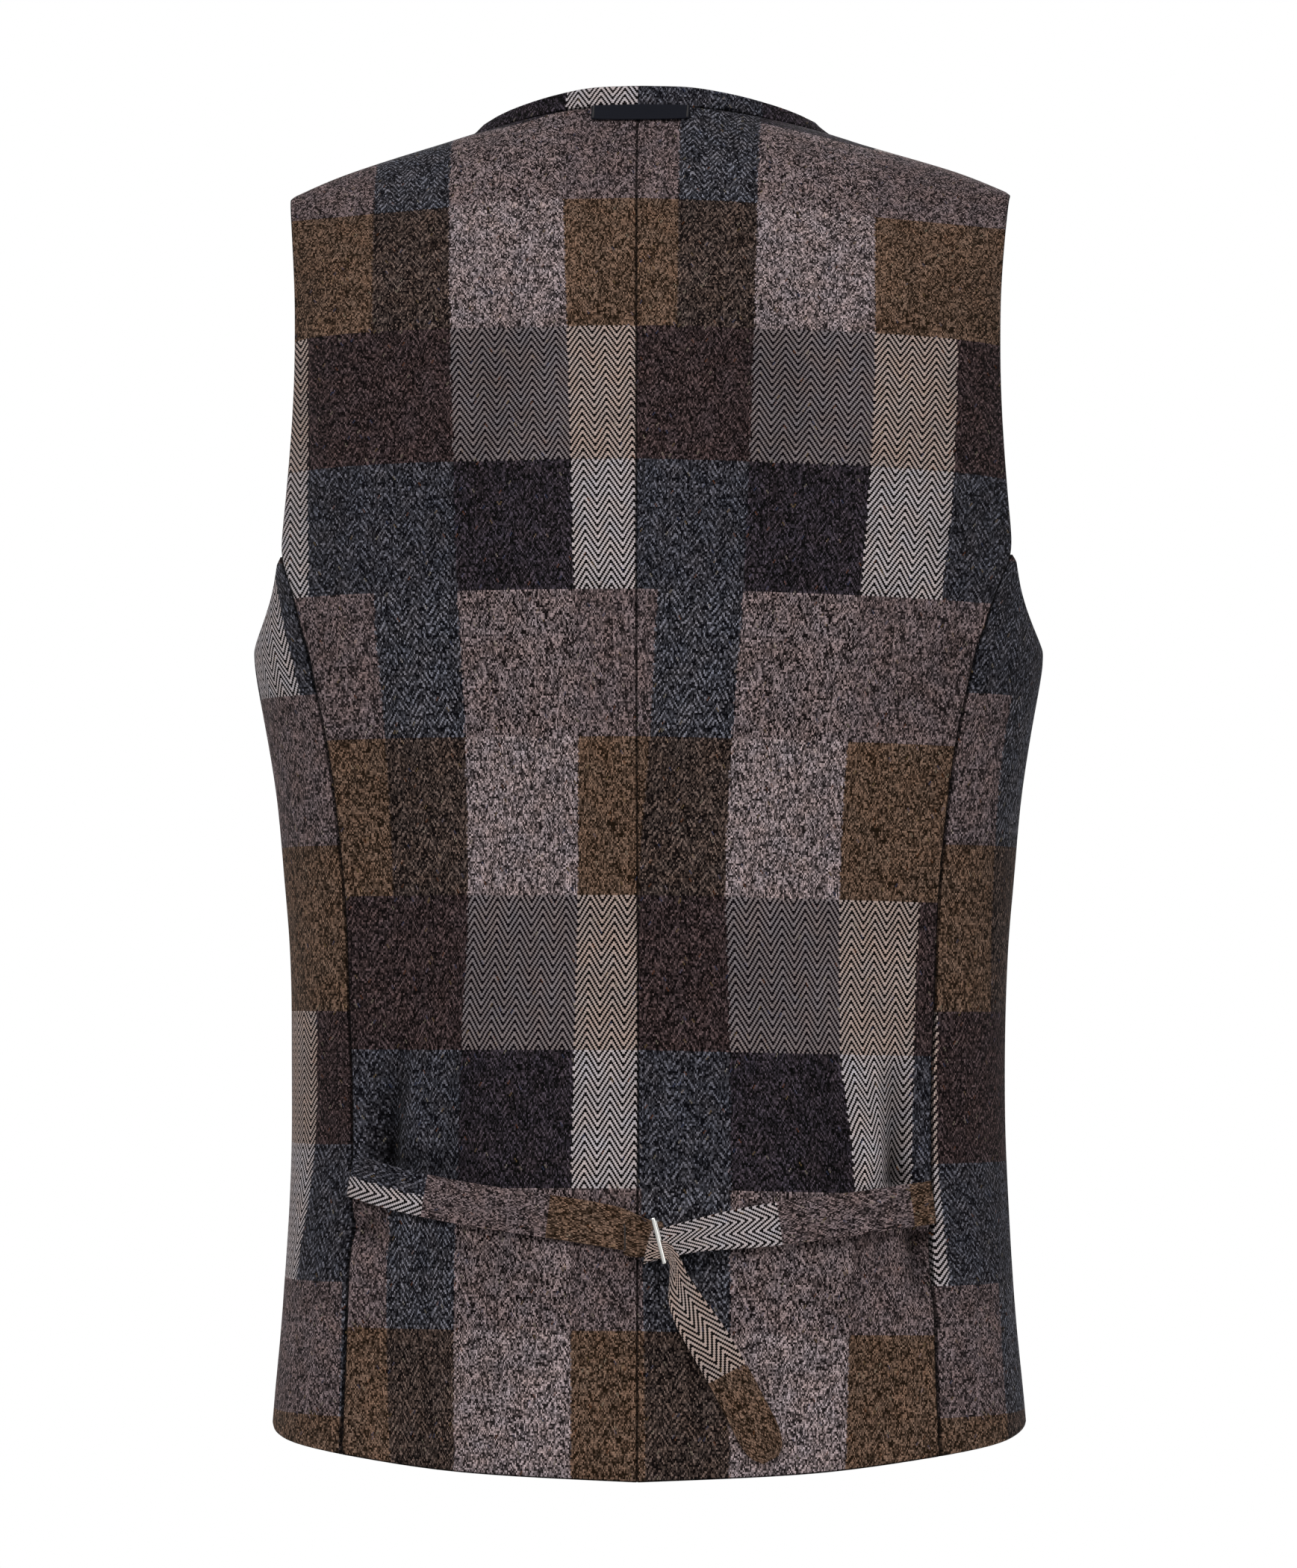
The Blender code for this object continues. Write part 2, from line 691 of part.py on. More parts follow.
# It lies behind the middle bar, turns round it, comes back under the outer bar and hangs down.
STRAP_RIGHT = table(
    BELT_COLUMNS,
    (-132.4, -193.9, 1.75, -0.13, 0, -0.99, 19.5, 2.2),
    (-119.0, -195.6, 1.75, -0.13, 0, -0.99, 19.5, 2.2),
    (-100.0, -198.2, 1.75, -0.13, 0, -0.99, 19.5, 2.2),
    (-80.0, -200.8, 1.80, -0.13, 0, -0.99, 19.5, 2.2),
    (-58.0, -203.6, 2.30, -0.13, 0.05, -0.99, 19.2, 2.1),
    (-40.1, -206.0, 3.50, -0.12, 0.22, -0.95, 17.5, 1.9),
    (-27.0, -208.2, 5.20, -0.12, 0.32, -0.93, 15.6, 1.6),
    (-18.0, -210.3, 6.35, -0.12, 0.20, -0.97, 14.4, 1.3),
    (-11.5, -212.0, 6.80, -0.08, 0.00, -1.00, 13.8, 1.3),
    (-7.6, -212.9, 6.80, 0.10, 0, -0.99, 14.6, 1.3),
    (-5.7, -213.4, 7.40, 0.18, 0, -0.98, 15.0, 1.3),
    (-5.1, -213.9, 8.60, 0.23, 0, -0.97, 15.2, 1.3),
    (-5.7, -214.0, 9.80, 0.22, 0, -0.97, 13.4, 1.3),
    (-7.6, -214.2, 10.38, 0.10, 0, -0.99, 11.0, 1.3),
    (-11.2, -214.6, 10.40, -0.12, 0, -0.99, 8.2, 1.3),
    (-14.1, -215.4, 10.30, -0.05, 0, -1.00, 8.0, 1.3),
    (-16.6, -220.8, 9.60, 0.35, 0, -0.94, 9.8, 1.3),
    (-18.6, -231.0, 8.40, 0.65, 0, -0.76, 13.6, 1.5),
    (-24.0, -242.3, 6.90, 0.82, 0, -0.57, 17.0, 1.9),
    (-31.0, -253.6, 5.50, 0.87, 0, -0.50, 19.0, 2.1),
    (-40.4, -269.6, 3.80, 0.88, 0, -0.48, 19.3, 2.2),
    (-50.3, -288.4, 2.50, 0.89, 0, -0.46, 19.3, 2.2),
    (-56.6, -301.0, 2.10, 0.89, 0, -0.46, 18.2, 2.2),
    (-58.8, -305.6, 2.00, 0.89, 0, -0.46, 14.6, 2.1),
    (-60.2, -308.8, 2.00, 0.89, 0, -0.46, 8.0, 2.0),
)


def belt_strap(name, rows):
    stations = []
    for row in rows:
        point, normal = back_frame(row["x"], row["h"])
        flat = Vector((row["ax"], 0, row["az"]))
        flat = (flat - normal * flat.dot(normal)).normalized()
        stations.append(dict(
            at=point + normal * row["lift"],
            across=(flat + normal * row["tilt"]).normalized(),
            width=row["width"],
            thick=row["thick"],
        ))
    strap(name, stations, TWEED)


belt_strap("belt_strap_left", STRAP_LEFT)
belt_strap("belt_strap_right", STRAP_RIGHT)


# ---------------------------------------------------------------- buttons down the left front

BUTTON_COUNT, BUTTON_TOP, BUTTON_PITCH = 5, 8.0, 62.0
BUTTON_LIFT = 0.35
# Half its section, from the middle of the face out over the rim to the middle of the back.
BUTTON_PROFILE = table(
    ("r", "z"),
    (0.0, 1.6), (5.2, 1.7), (5.7, 2.2), (6.6, 2.5), (7.4, 1.7), (7.4, 0.7), (6.6, 0.0), (0.0, 0.0),
)


def button(number):
    h = BUTTON_TOP - BUTTON_PITCH * number
    bm = bmesh.new()
    points = [bm.verts.new((row["r"] * 0.001, 0, row["z"] * 0.001)) for row in BUTTON_PROFILE]
    for pair in zip(points, points[1:]):
        bm.edges.new(pair)
    made = add_object(f"button_{number + 1}", bm, HORN)
    turn = made.modifiers.new("turn", "SCREW")
    turn.steps = 20
    turn.render_steps = 20
    turn.use_merge_vertices = True
    turn.merge_threshold = 0.00001
    normal = skin_normal(1.0, h)
    made.location = to_metres(skin(1.0, h) + normal * BUTTON_LIFT)
    made.rotation_euler = Vector((0, 0, 1)).rotation_difference(normal).to_euler()


for number in range(BUTTON_COUNT):
    button(number)
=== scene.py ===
# %% [markdown]
# # A tweed waistcoat, dressed for a close look
#
# The solids of a waistcoat are loaded as a fixed frame. Their rigid shapes stay. Every piece of
# cloth is made again here as thin woven cloth with its own creases, yarns and turned edges.
# All tables are in millimetres with heights counted from the middle of the back, because that is
# how the pattern was drafted. One function turns each finished point into metres.

# %% Load the frame
import math

import bmesh
import bpy
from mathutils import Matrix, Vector, noise


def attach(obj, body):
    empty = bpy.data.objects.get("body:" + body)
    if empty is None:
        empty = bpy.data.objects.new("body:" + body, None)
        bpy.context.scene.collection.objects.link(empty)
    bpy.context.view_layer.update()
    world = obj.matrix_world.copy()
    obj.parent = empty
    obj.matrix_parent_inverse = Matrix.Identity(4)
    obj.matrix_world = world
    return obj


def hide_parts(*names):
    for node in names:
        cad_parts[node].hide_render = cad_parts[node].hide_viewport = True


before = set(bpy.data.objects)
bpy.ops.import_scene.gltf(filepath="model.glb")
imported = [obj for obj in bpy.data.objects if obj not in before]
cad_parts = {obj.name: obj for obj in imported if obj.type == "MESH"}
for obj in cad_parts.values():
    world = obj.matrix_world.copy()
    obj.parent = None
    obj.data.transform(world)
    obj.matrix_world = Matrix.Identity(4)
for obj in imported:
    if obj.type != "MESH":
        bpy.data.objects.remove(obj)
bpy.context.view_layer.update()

MOUNT = 290.0  # the shoulders bear this far above the middle of the back
GAP = 0.004  # between two pieces at a seam, so close that no light comes through
SIDES = (("left", 1), ("right", -1))


def to_metres(point, side=1):
    return Vector((side * point.x, point.y, point.z - MOUNT)) * 0.001


def object_from(name, bm):
    """A new object that takes over a bmesh."""
    mesh = bpy.data.meshes.new(name)
    bm.to_mesh(mesh)
    bm.free()
    obj = bpy.data.objects.new(name, mesh)
    bpy.context.scene.collection.objects.link(obj)
    return obj


# %% [markdown]
# ## Camera, floor and light
#
# The camera stands three metres behind the wearer, almost level, with a long lens, as for a
# catalogue picture. The light is soft: a bright surround and four large panels. A curved backdrop
# would also work, but a floor that fades to white at its edge leaves no line from any side.

# %% Camera
camera = bpy.data.objects.new("camera", bpy.data.cameras.new("camera"))
bpy.context.scene.collection.objects.link(camera)
camera.location = (-0.1412, 2.9948, -0.3947)
aim = Vector((0, 0, -0.290)) - camera.location
camera.rotation_euler = aim.to_track_quat("-Z", "Y").to_euler()
camera.data.sensor_width = 36
camera.data.lens = 146.5
camera.data.clip_end = 60
bpy.context.scene.camera = camera
bpy.context.scene.view_settings.view_transform = "Standard"


# %% [markdown]
# ## Arithmetic with nodes
#
# A weave takes dozens of sums. Written one node at a time they would bury the idea, so what flows
# out of a node is wrapped in a small class, and the usual signs add the nodes that do the sum.

# %% What flows between nodes
class Value:
    """One output of a node."""

    def __init__(self, socket):
        self.socket, self.tree = socket, socket.id_data

    def out(self, key):
        """Another output of the same node."""
        return Value(self.socket.node.outputs[key])

    def calc(self, operation, *others):
        return node(self.tree, "Math", dict(enumerate((self, *others))), operation=operation)

    def __add__(self, other):
        return self.calc("ADD", other)

    def __sub__(self, other):
        return self.calc("SUBTRACT", other)

    def __rsub__(self, other):
        return node(self.tree, "Math", {0: other, 1: self}, operation="SUBTRACT")

    def __mul__(self, other):
        return self.calc("MULTIPLY", other)

    def __truediv__(self, other):
        return self.calc("DIVIDE", other)

    def ranged(self, low=0.0, high=1.0, to_low=0.0, to_high=1.0):
        """Low becomes to_low and high becomes to_high, with nothing past them."""
        return node(self.tree, "MapRange", {0: self, 1: low, 2: high, 3: to_low, 4: to_high})

    def between(self, first, second):
        """The first number where this is 0, the second where it is 1."""
        return node(self.tree, "Mix", {0: self, 2: first, 3: second})

    def colour(self, first, second):
        """The first colour where this is 0, the second where it is 1."""
        return node(self.tree, "Mix", {0: self, 6: first, 7: second}, 2, data_type="RGBA")

    def tinted(self, tint):
        """This colour times another."""
        return node(self.tree, "Mix", {0: 1.0, 6: self, 7: tint}, 2, data_type="RGBA",
                    blend_type="MULTIPLY")


# %% Helpers that build materials
def fill(made, inputs):
    """Each input of a node is either linked or set."""
    for key, value in inputs.items():
        if isinstance(value, Value):
            made.id_data.links.new(value.socket, made.inputs[key])
        else:
            made.inputs[key].default_value = value


def node(tree, kind, inputs=None, output=0, **settings):
    """A new node with its settings and inputs. Gives one of its outputs."""
    made = tree.nodes.new("ShaderNode" + kind)
    for key, value in settings.items():
        setattr(made, key, value)
    fill(made, inputs or {})
    return Value(made.outputs[output])


def rgb(red, green, blue):
    """A colour as a dyer would read it off a screen, 0 to 255, in the linear light of nodes."""
    linear = []
    for value in (red, green, blue):
        value /= 255
        linear.append(value / 12.92 if value <= 0.04045 else ((value + 0.055) / 1.055) ** 2.4)
    return (*linear, 1.0)


def steps(factor, colours):
    """A ramp of equal steps, one for each colour."""
    made = node(factor.tree, "ValToRGB", {0: factor})
    ramp = made.socket.node.color_ramp
    ramp.interpolation = "CONSTANT"
    ramp.elements[0].color = colours[0]
    ramp.elements.remove(ramp.elements[1])
    for i, colour in enumerate(colours[1:], 1):
        ramp.elements.new(i / len(colours)).color = colour
    return made


def soft_noise(place, scale, detail=2.0):
    return node(place.tree, "TexNoise", {"Vector": place, "Scale": scale, "Detail": detail}, "Fac")


def bump(height, strength, distance):
    inputs = {"Height": height, "Strength": strength, "Distance": distance}
    return node(height.tree, "Bump", inputs)


def object_place(tree):
    return node(tree, "TexCoord", output="Object")


def cloth_place(tree):
    """A place on the cloth in metres, and how far that is across it and along it."""
    place = node(tree, "UVMap", uv_map="cloth")
    across = node(tree, "SeparateXYZ", {0: place})
    return place, across, across.out(1)


def new_material(name, recipe):
    """A material whose shader takes the inputs that recipe(tree) gives."""
    made = bpy.data.materials.new(name)
    made.use_nodes = True
    fill(made.node_tree.nodes["Principled BSDF"], recipe(made.node_tree))
    return made


# %% Floor and surround
FLOOR_DROP, FLOOR_RADIUS = -0.80, 20
WHITE_FROM, WHITE_AT = 0.6, 1.6  # the floor turns to plain white between these distances
AMBIENT = 0.22  # what floor and surround shed on the cloth, where the camera sees plain white
PANELS = 0.6  # and this much more in reflections, as white panels would give the metal

bm = bmesh.new()
bmesh.ops.create_circle(bm, cap_ends=True, segments=96, radius=FLOOR_RADIUS)
bmesh.ops.translate(bm, verts=bm.verts, vec=(0, 0, FLOOR_DROP))
floor = object_from("floor", bm)

pale = new_material("pale_floor", lambda tree: {
    "Base Color": (0.86, 0.86, 0.86, 1), "Roughness": 0.9})
tree = pale.node_tree
flat = node(tree, "VectorMath", {0: object_place(tree), 1: (1, 1, 0)}, operation="MULTIPLY")
fade = node(tree, "VectorMath", {0: flat}, "Value", operation="LENGTH").ranged(WHITE_FROM, WHITE_AT)
power = node(tree, "LightPath", output="Is Camera Ray").ranged(to_low=AMBIENT)
glow = node(tree, "Emission", {0: (1, 1, 1, 1), 1: power})
plain = Value(tree.nodes["Principled BSDF"].outputs[0])
blend = node(tree, "MixShader", {0: fade, 1: plain, 2: glow})
fill(tree.nodes["Material Output"], {"Surface": blend})
floor.data.materials.append(pale)

surround = bpy.data.worlds.new("surround")
surround.use_nodes = True
seen = node(surround.node_tree, "LightPath", output="Is Camera Ray")
power = seen.out("Is Glossy Ray").calc("MULTIPLY_ADD", PANELS, seen.ranged(to_low=AMBIENT))
fill(surround.node_tree.nodes["Background"], {"Strength": power, "Color": (1, 1, 1, 1)})
bpy.context.scene.world = surround

# %% Soft lamps
LAMPS = (
    ("key", (0.5, 2.4, 1.6), 1.2, 40),
    ("fill", (-1.7, 2.0, 0.2), 1.6, 9),
    ("front_key", (-0.5, -2.4, 1.6), 1.2, 40),
    ("front_fill", (1.7, -2.0, 0.2), 1.6, 9),
)
LAMPS_AIM = Vector((0, 0, -0.25))
for name, at, size, watts in LAMPS:
    lamp = bpy.data.objects.new(name, bpy.data.lights.new(name, "AREA"))
    lamp.data.shape = "SQUARE"
    lamp.data.size = size
    lamp.data.energy = watts
    lamp.location = at
    lamp.rotation_euler = (LAMPS_AIM - Vector(at)).to_track_quat("-Z", "Y").to_euler()
    bpy.context.scene.collection.objects.link(lamp)
print("lamps", len(LAMPS))

# %% [markdown]
# ## The tweed
#
# The real cloth is wool in two-and-two herringbone. The weaver changes the warp yarns in stripes
# and the weft yarns in bands, so the cloth falls into blocks. A picture of the cloth could be
# wrapped on, but it would blur up close and repeat. Here the loom itself is followed: each point
# of the cloth knows its end (warp yarn) and pick (weft yarn) from a map laid out in metres, the
# zigzag comes from counting ends up and down by ten, and a chart names the yarns of each block.

# %% Yarns and the chart of blocks
END, PICK = 0.158 / 280, 0.000915  # the pitch of the warp and the weft, in metres
STRIPES = (68, 52, 65, 95)  # ends in each stripe
BANDS = (72, 80, 76, 69)  # picks in each band
STRIPE_MM = [ends * END * 1000 for ends in STRIPES]
BAND_MM = [picks * PICK * 1000 for picks in BANDS]

# Each block: its light yarn, its dark yarn and how clearly the herringbone shows, 0 to 1.
YARNS = {
    "cream": (rgb(200, 180, 170), rgb(5, 5, 5), 0.97),
    "silver": (rgb(210, 200, 200), rgb(5, 5, 5), 0.97),
    "mauve": (rgb(150, 140, 140), rgb(10, 5, 10), 0.95),
    "umber": (rgb(120, 100, 100), rgb(15, 10, 10), 0.60),
    "plum": (rgb(100, 90, 100), rgb(10, 10, 10), 0.64),
    "navy": (rgb(130, 130, 140), rgb(10, 10, 15), 0.72),
    "slate": (rgb(150, 150, 160), rgb(10, 10, 15), 0.80),
    "dove": (rgb(220, 200, 200), rgb(35, 30, 30), 0.28),
    "bark": (rgb(160, 130, 110), rgb(35, 25, 15), 0.20),
    "peat": (rgb(140, 120, 110), rgb(15, 10, 10), 0.62),
    "heather": (rgb(170, 150, 150), rgb(30, 25, 25), 0.22),
    "pepper": (rgb(190, 170, 170), rgb(20, 15, 15), 0.25),
}
CHART = (
    ("heather", "heather", "slate", "pepper"),
    ("bark", "bark", "peat", "dove"),
    ("cream", "umber", "umber", "mauve"),
    ("silver", "navy", "navy", "plum"),
)
FLECKS = [rgb(150, 92, 58), rgb(196, 184, 160), rgb(86, 96, 134), rgb(168, 140, 96)]
FLECK_FROM, FLECK_SHARE = 0.992, 0.30  # how rare flecks are, and how much they cover


# %% The loom, as nodes
ZIGZAG = 10  # ends from one point of the zigzag to the next
FLOAT = 4.0  # picks after which each yarn goes over and under again
WOBBLE, FRAY = 0.7, 1.8  # in yarns: how far they wander, and how far a stripe's edge frays
WOBBLE_SIZE, BATH_SIZE, CLOUD_SIZE = 160.0, 90.0, 38.0  # each noise's scale, per metre
REDDER, BLUER = (1.05, 0.98, 0.95, 1), (0.96, 0.99, 1.05, 1)
HOLLOW_SHADE = 0.18  # painted shade: share of its colour the cloth keeps in the deepest crease
SEAM_SHADE = 0.18  # and under the painted shade in the groove of a seam


def which(position, counts):
    """The number of the stripe or band that a yarn lies in."""
    position = position.calc("FLOORED_MODULO", float(sum(counts)))
    passed, found = 0, 0.0
    for count in counts[:-1]:
        passed += count
        found = position.calc("GREATER_THAN", passed - 0.5) + found
    return found


def random_of(x, y):
    pair = node(x.tree, "CombineXYZ", {0: x, 1: y})
    return node(x.tree, "TexWhiteNoise", {"Vector": pair}, noise_dimensions="2D")


# painted_shade is the share of its colour the tweed keeps: 1 for the plain cloth, less for a copy
# painted darker as shade.
def tweed(tree, painted_shade=1.0):
    place, across, along = cloth_place(tree)

    # Yarns are never quite straight.
    wobble = (soft_noise(place, WOBBLE_SIZE) - 0.5) * WOBBLE
    end, pick = across / END + wobble, along / PICK + wobble
    end_number, pick_number = end.calc("FLOOR"), pick.calc("FLOOR")

    climb = (end_number + 0.5).calc("PINGPONG", float(ZIGZAG)) + pick_number
    warp_on_top = (climb / FLOAT).calc("FRACT").calc("LESS_THAN", 0.5)

    # The wool is spun from fibres of many shades. They show as short slanting dashes, two ends
    # long and one pick high, which follow the zigzag.
    line = climb.calc("FLOOR")
    end_pair = (end_number / 2.0).calc("FLOOR")
    speck = random_of(end_pair, line).calc("MULTIPLY_ADD", 0.45, random_of(end_number, line) * 0.55)
    speck = speck.ranged(0.28, 0.80).calc("POWER", 1.5)
    grain = random_of(end_number, pick_number)

    stripe = which(end_number + grain * FRAY, STRIPES)
    band = which(pick_number, BANDS)
    block = band.calc("MULTIPLY_ADD", float(len(STRIPES)), stripe + 0.5)
    block = block / float(len(STRIPES) * len(BANDS))
    yarns = [YARNS[name] for row in CHART for name in row]
    light = steps(block, [yarn[0] for yarn in yarns])
    dark = steps(block, [yarn[1] for yarn in yarns])
    clear = steps(block, [(yarn[2],) * 3 + (1.0,) for yarn in yarns])

    warp_lit = clear.ranged(0.85, 0.97).between(speck, 1.0)
    weft_lit = speck * (1.0 - clear)
    colour = warp_on_top.between(weft_lit, warp_lit).colour(dark, light)

    # The dye bath leaves some places a little redder and some a little bluer.
    bath = soft_noise(place, BATH_SIZE, 3.0).ranged(0.3, 0.7)
    colour = colour.tinted(bath.colour(REDDER, BLUER))

    # Slubs: each yarn's own depth of dye, changing slowly along it.
    slub = soft_noise(node(tree, "CombineXYZ", {0: end_number * 0.9, 1: pick_number * 0.10}), 1.0)
    depth = slub * 0.55 + soft_noise(place, CLOUD_SIZE, 3.0) * 0.55 + 0.45

    # Each float of yarn stands up as a little rounded rib in the bump. Its colour is painted
    # lighter on the rib's crown and darker beside it: painted light and painted shade.
    ribs = []
    for yarn in (end, pick):
        off_middle = yarn.calc("FRACT") * 2.0 - 1.0
        ribs.append(1.0 - off_middle * off_middle)
    rib = warp_on_top.between(ribs[1], ribs[0])
    depth = depth * rib.calc("MULTIPLY_ADD", 0.54, 0.64)

    # Painted shade: the colour is darkened in the creases and in the seam grooves, as much as
    # the mesh's attributes say.
    painted_crease_shade = node(tree, "Attribute", output="Fac", attribute_name="painted_crease_shade")
    depth = depth * painted_crease_shade.ranged(to_low=painted_shade, to_high=painted_shade * HOLLOW_SHADE)
    painted_seam_mask = node(tree, "Attribute", output="Fac", attribute_name="painted_seam_shade")
    depth = depth * painted_seam_mask.ranged(0.38, 0.62, 1.0, SEAM_SHADE)
    # depth now holds the dye's own depth together with the painted light and shade.
    colour = colour.tinted(depth)

    # Flecks of other wool, carded in.
    fleck = random_of(end_pair, line + 0.5)
    rare = fleck.calc("GREATER_THAN", FLECK_FROM) * FLECK_SHARE
    dye = node(tree, "SeparateXYZ", {0: fleck.out("Color")}, 1)
    height = rib + warp_on_top * 0.35 + grain * 0.45
    return {
        "Base Color": rare.colour(colour, steps(dye, FLECKS)),
        "Normal": bump(height, 0.55, 0.00022),
        "Roughness": 0.92, "Specular IOR Level": 0.04,
        "Sheen Weight": 0.03, "Sheen Roughness": 0.45, "Sheen Tint": (0.86, 0.84, 0.84, 1),
    }


TWEED = new_material("tweed", tweed)
# A darker copy of the tweed for the turned edges: painted shade on the edges and in the seam
# grooves.
TWEED_PAINTED_SHADE = new_material("tweed_with_painted_shade", lambda tree: tweed(tree, painted_shade=0.22))
print("blocks charted", len(CHART) * len(CHART[0]))


# %% [markdown]
# ## Plainer finishes
#
# The inside is faced with dark satin, because bare tweed would drag on a shirt. It is only a
# finish on the inner face. The tab behind the neck is a narrow woven tape, left blank. A factor
# of thousands below is the number of ribs of a weave or turns of a thread in a metre.

# %% Lining, tape, metal, horn and thread
def lining(tree):
    place, across, along = cloth_place(tree)
    rib = (across * 2400.0 + along * 900.0).calc("PINGPONG", 1.0)
    tone = rib * 0.35 + soft_noise(place, 30.0, 3.0) * 0.65
    return {"Base Color": tone.colour(rgb(40, 35, 40), rgb(80, 70, 78)),
            "Normal": bump(rib, 0.2, 0.00008), "Roughness": 0.42}


def tape(tree):
    across = node(tree, "SeparateXYZ", {0: object_place(tree)})
    rib = (across.out(2) * 3600.0).calc("PINGPONG", 1.0)
    tone = (rib + (across * 4200.0).calc("PINGPONG", 1.0)) * 0.5
    return {"Base Color": tone.colour(rgb(10, 11, 17), rgb(24, 26, 36)),
            "Normal": bump(tone, 0.4, 0.0001), "Roughness": 0.7, "Specular IOR Level": 0.1}


def metal(tree):
    haze = soft_noise(object_place(tree), 420.0, 3.0)
    return {"Base Color": haze.colour(rgb(206, 204, 198), rgb(222, 221, 218)),
            "Roughness": haze.ranged(to_low=0.14, to_high=0.30), "Metallic": 1.0}


def horn(tree):
    drawn = node(tree, "Mapping", {0: object_place(tree), 3: (1.0, 1.0, 0.25)})
    streak = node(tree, "TexNoise", {
        "Vector": drawn, "Scale": 240.0, "Detail": 5.0, "Distortion": 1.6}, "Fac")
    return {"Base Color": streak.ranged(0.38, 0.66).colour(rgb(20, 14, 12), rgb(58, 40, 29)),
            "Roughness": 0.34, "Coat Weight": 0.3, "Coat Roughness": 0.12}


def thread(tree):
    """Twisted buttonhole thread: its map runs along the stitches."""
    _, along, side = cloth_place(tree)
    ply = (along * 2600.0 + side * 700.0).calc("PINGPONG", 1.0)
    return {"Base Color": ply.colour(rgb(24, 20, 20), rgb(74, 62, 60)),
            "Normal": bump(ply, 0.6, 0.00012), "Roughness": 0.7, "Sheen Weight": 0.1}


LINING = new_material("lining_satin", lining)
TAPE = new_material("tape", tape)
METAL = new_material("plated_metal", metal)
HORN = new_material("horn", horn)
THREAD = new_material("buttonhole_thread", thread)
print("materials", len(bpy.data.materials))


# %% [markdown]
# ## The draft of the body
#
# A tailor drafts from measures at set levels. The same is done here: a table of level sections,
# tables for each seam, and smooth curves through them. They are the tables that the solids were
# cut from, so each piece of cloth lands exactly on its solid.

# %% Tables of the draft
def table(names, *rows):
    return [dict(zip(names, row)) for row in rows]


BODY = table(
    ("h", "half", "back", "front", "side", "square"),
    (-345, 180, 113, 118, 0, 2.40), (-295, 177, 112.5, 118.5, 0, 2.40),
    (-244, 172, 110, 117.5, 0, 2.42), (-193, 169, 106, 114.5, 0, 2.45),
    (-158, 168, 103, 112, 0, 2.45), (-123, 168, 102, 111, 0, 2.42),
    (-82, 169, 104, 113, 0, 2.38), (-48, 172, 108, 116, 0, 2.34),
    (-8, 175.5, 113, 120, 0, 2.30), (26, 181, 116.5, 124, 0, 2.26),
    (60, 186.5, 118, 127, 0, 2.22), (75, 183.2, 118, 127.5, -0.5, 2.20),
    (88.5, 179.6, 117.6, 127, -1, 2.20), (107, 177.5, 115.6, 125.5, -2, 2.20),
    (129, 175, 111, 122, -3, 2.20), (152, 173, 105, 117.5, -4, 2.20),
    (190, 171.5, 92.5, 107, -6, 2.20), (219, 172, 82, 96, -8, 2.20),
    (251, 173, 66, 82, -9, 2.20),
)
PRINCESS = table(
    ("h", "x"),
    (-345, 139), (-307, 137.3), (-270, 135.7), (-228, 134.7), (-187, 133.5), (-138, 133.5),
    (-112, 134.9), (-63, 136.6), (-24, 140), (18.7, 145.7), (50, 153), (70, 158.6),
    (90, 165), (107, 172.4), (120, 177),
)
BACK_ARMHOLE = table(
    ("h", "x"),
    (100, 173.2), (107, 172.4), (129, 170.3), (149, 168.9), (170, 167.4), (190, 166.5),
    (219, 166.9), (240, 168.2),
)
FRONT_EDGE = table(
    ("h", "x"),
    (-345, -17), (18, -17), (33, -13.5), (50, -6.5), (80, 8), (130, 29.5), (190, 51), (225, 62),
)
SIDE_SEAM = table(
    ("h", "y"),
    (-345, -2), (-295, -2), (-228, 7.5), (-180, 9.5), (-140, 8.5), (-60, -2), (0, -4), (40, 3),
    (60, 4),
)
HEM = table(
    ("h", "z"),
    (0, -319), (0.16, -315.5), (0.30, -308.8), (0.40, -304.2), (0.47, -300), (0.56, -299),
    (0.68, -305), (0.80, -316), (0.865, -326), (0.895, -328), (0.925, -322), (0.965, -301),
    (1, -284), (1.035, -268), (1.05, -262),
)
NECK_SEAM = table(
    ("h", "x", "y", "z"),
    (0.00, 0, 25, 317.5), (0.20, 20, 23.5, 317.2), (0.43, 41, 17.5, 315.8),
    (0.66, 60, 8, 312.6), (0.85, 75, -2, 309.9), (1.00, 86, -12, 307.2),
)
NECK_TOP = table(
    ("h", "x", "y", "z"),
    (0.00, 0, 19.5, 327.6), (0.22, 20, 18.3, 327.2), (0.46, 41, 12.5, 324.5),
    (0.72, 62, 1.5, 319.9), (0.86, 71.5, -5.5, 316.9), (1.00, 79.5, -12.5, 313.4),
)
SHOULDER_SEAM = table(
    ("h", "x", "y", "z"),
    (0.00, 86, -12, 307.2), (0.30, 110, -12.6, 300.2), (0.65, 140, -13, 291.3),
    (0.92, 164, -13, 283.2), (1.00, 171, -13, 279.2),
)
CENTRE_BACK = table(("h", "x"), (60, 0), (90, 0.1), (219, 1.8), (300, 4), (320, 4.2))

# %% Rows and columns of each panel
LEVELS = [-228.0 + 20 * i for i in range(15)]
UNDERARM = [61.0, 70.0, 79.0, 88.0, 97.0]
BACK_TOP = 219.0
PRINCESS_END = 107.0
BACK_LEVELS = LEVELS + UNDERARM + [PRINCESS_END - 0.1, 125.0, 145.0, 166.0, 191.0]
HEM_LEVEL, HEM_ROWS = -300.0, 5
BACK_COLUMNS, BACK_HIGH_ROWS = 9, 7
SIDE_COLUMNS = 4
FRONT_COLUMNS, FRONT_HIGH_ROWS = 12, 6
NECK_SHARE = 0.5  # of the back's top edge
BAND_SHARE = 0.08  # of the front's top edge
SIDE_TOP = table(
    ("inner", "outer", "y"),
    (61, 60, None), (70, 61.8, 11), (79, 66.5, 19.5), (88, 75, 26.5), (97, 88, 30.2),
    (105.3, 103.5, 30.6),
)
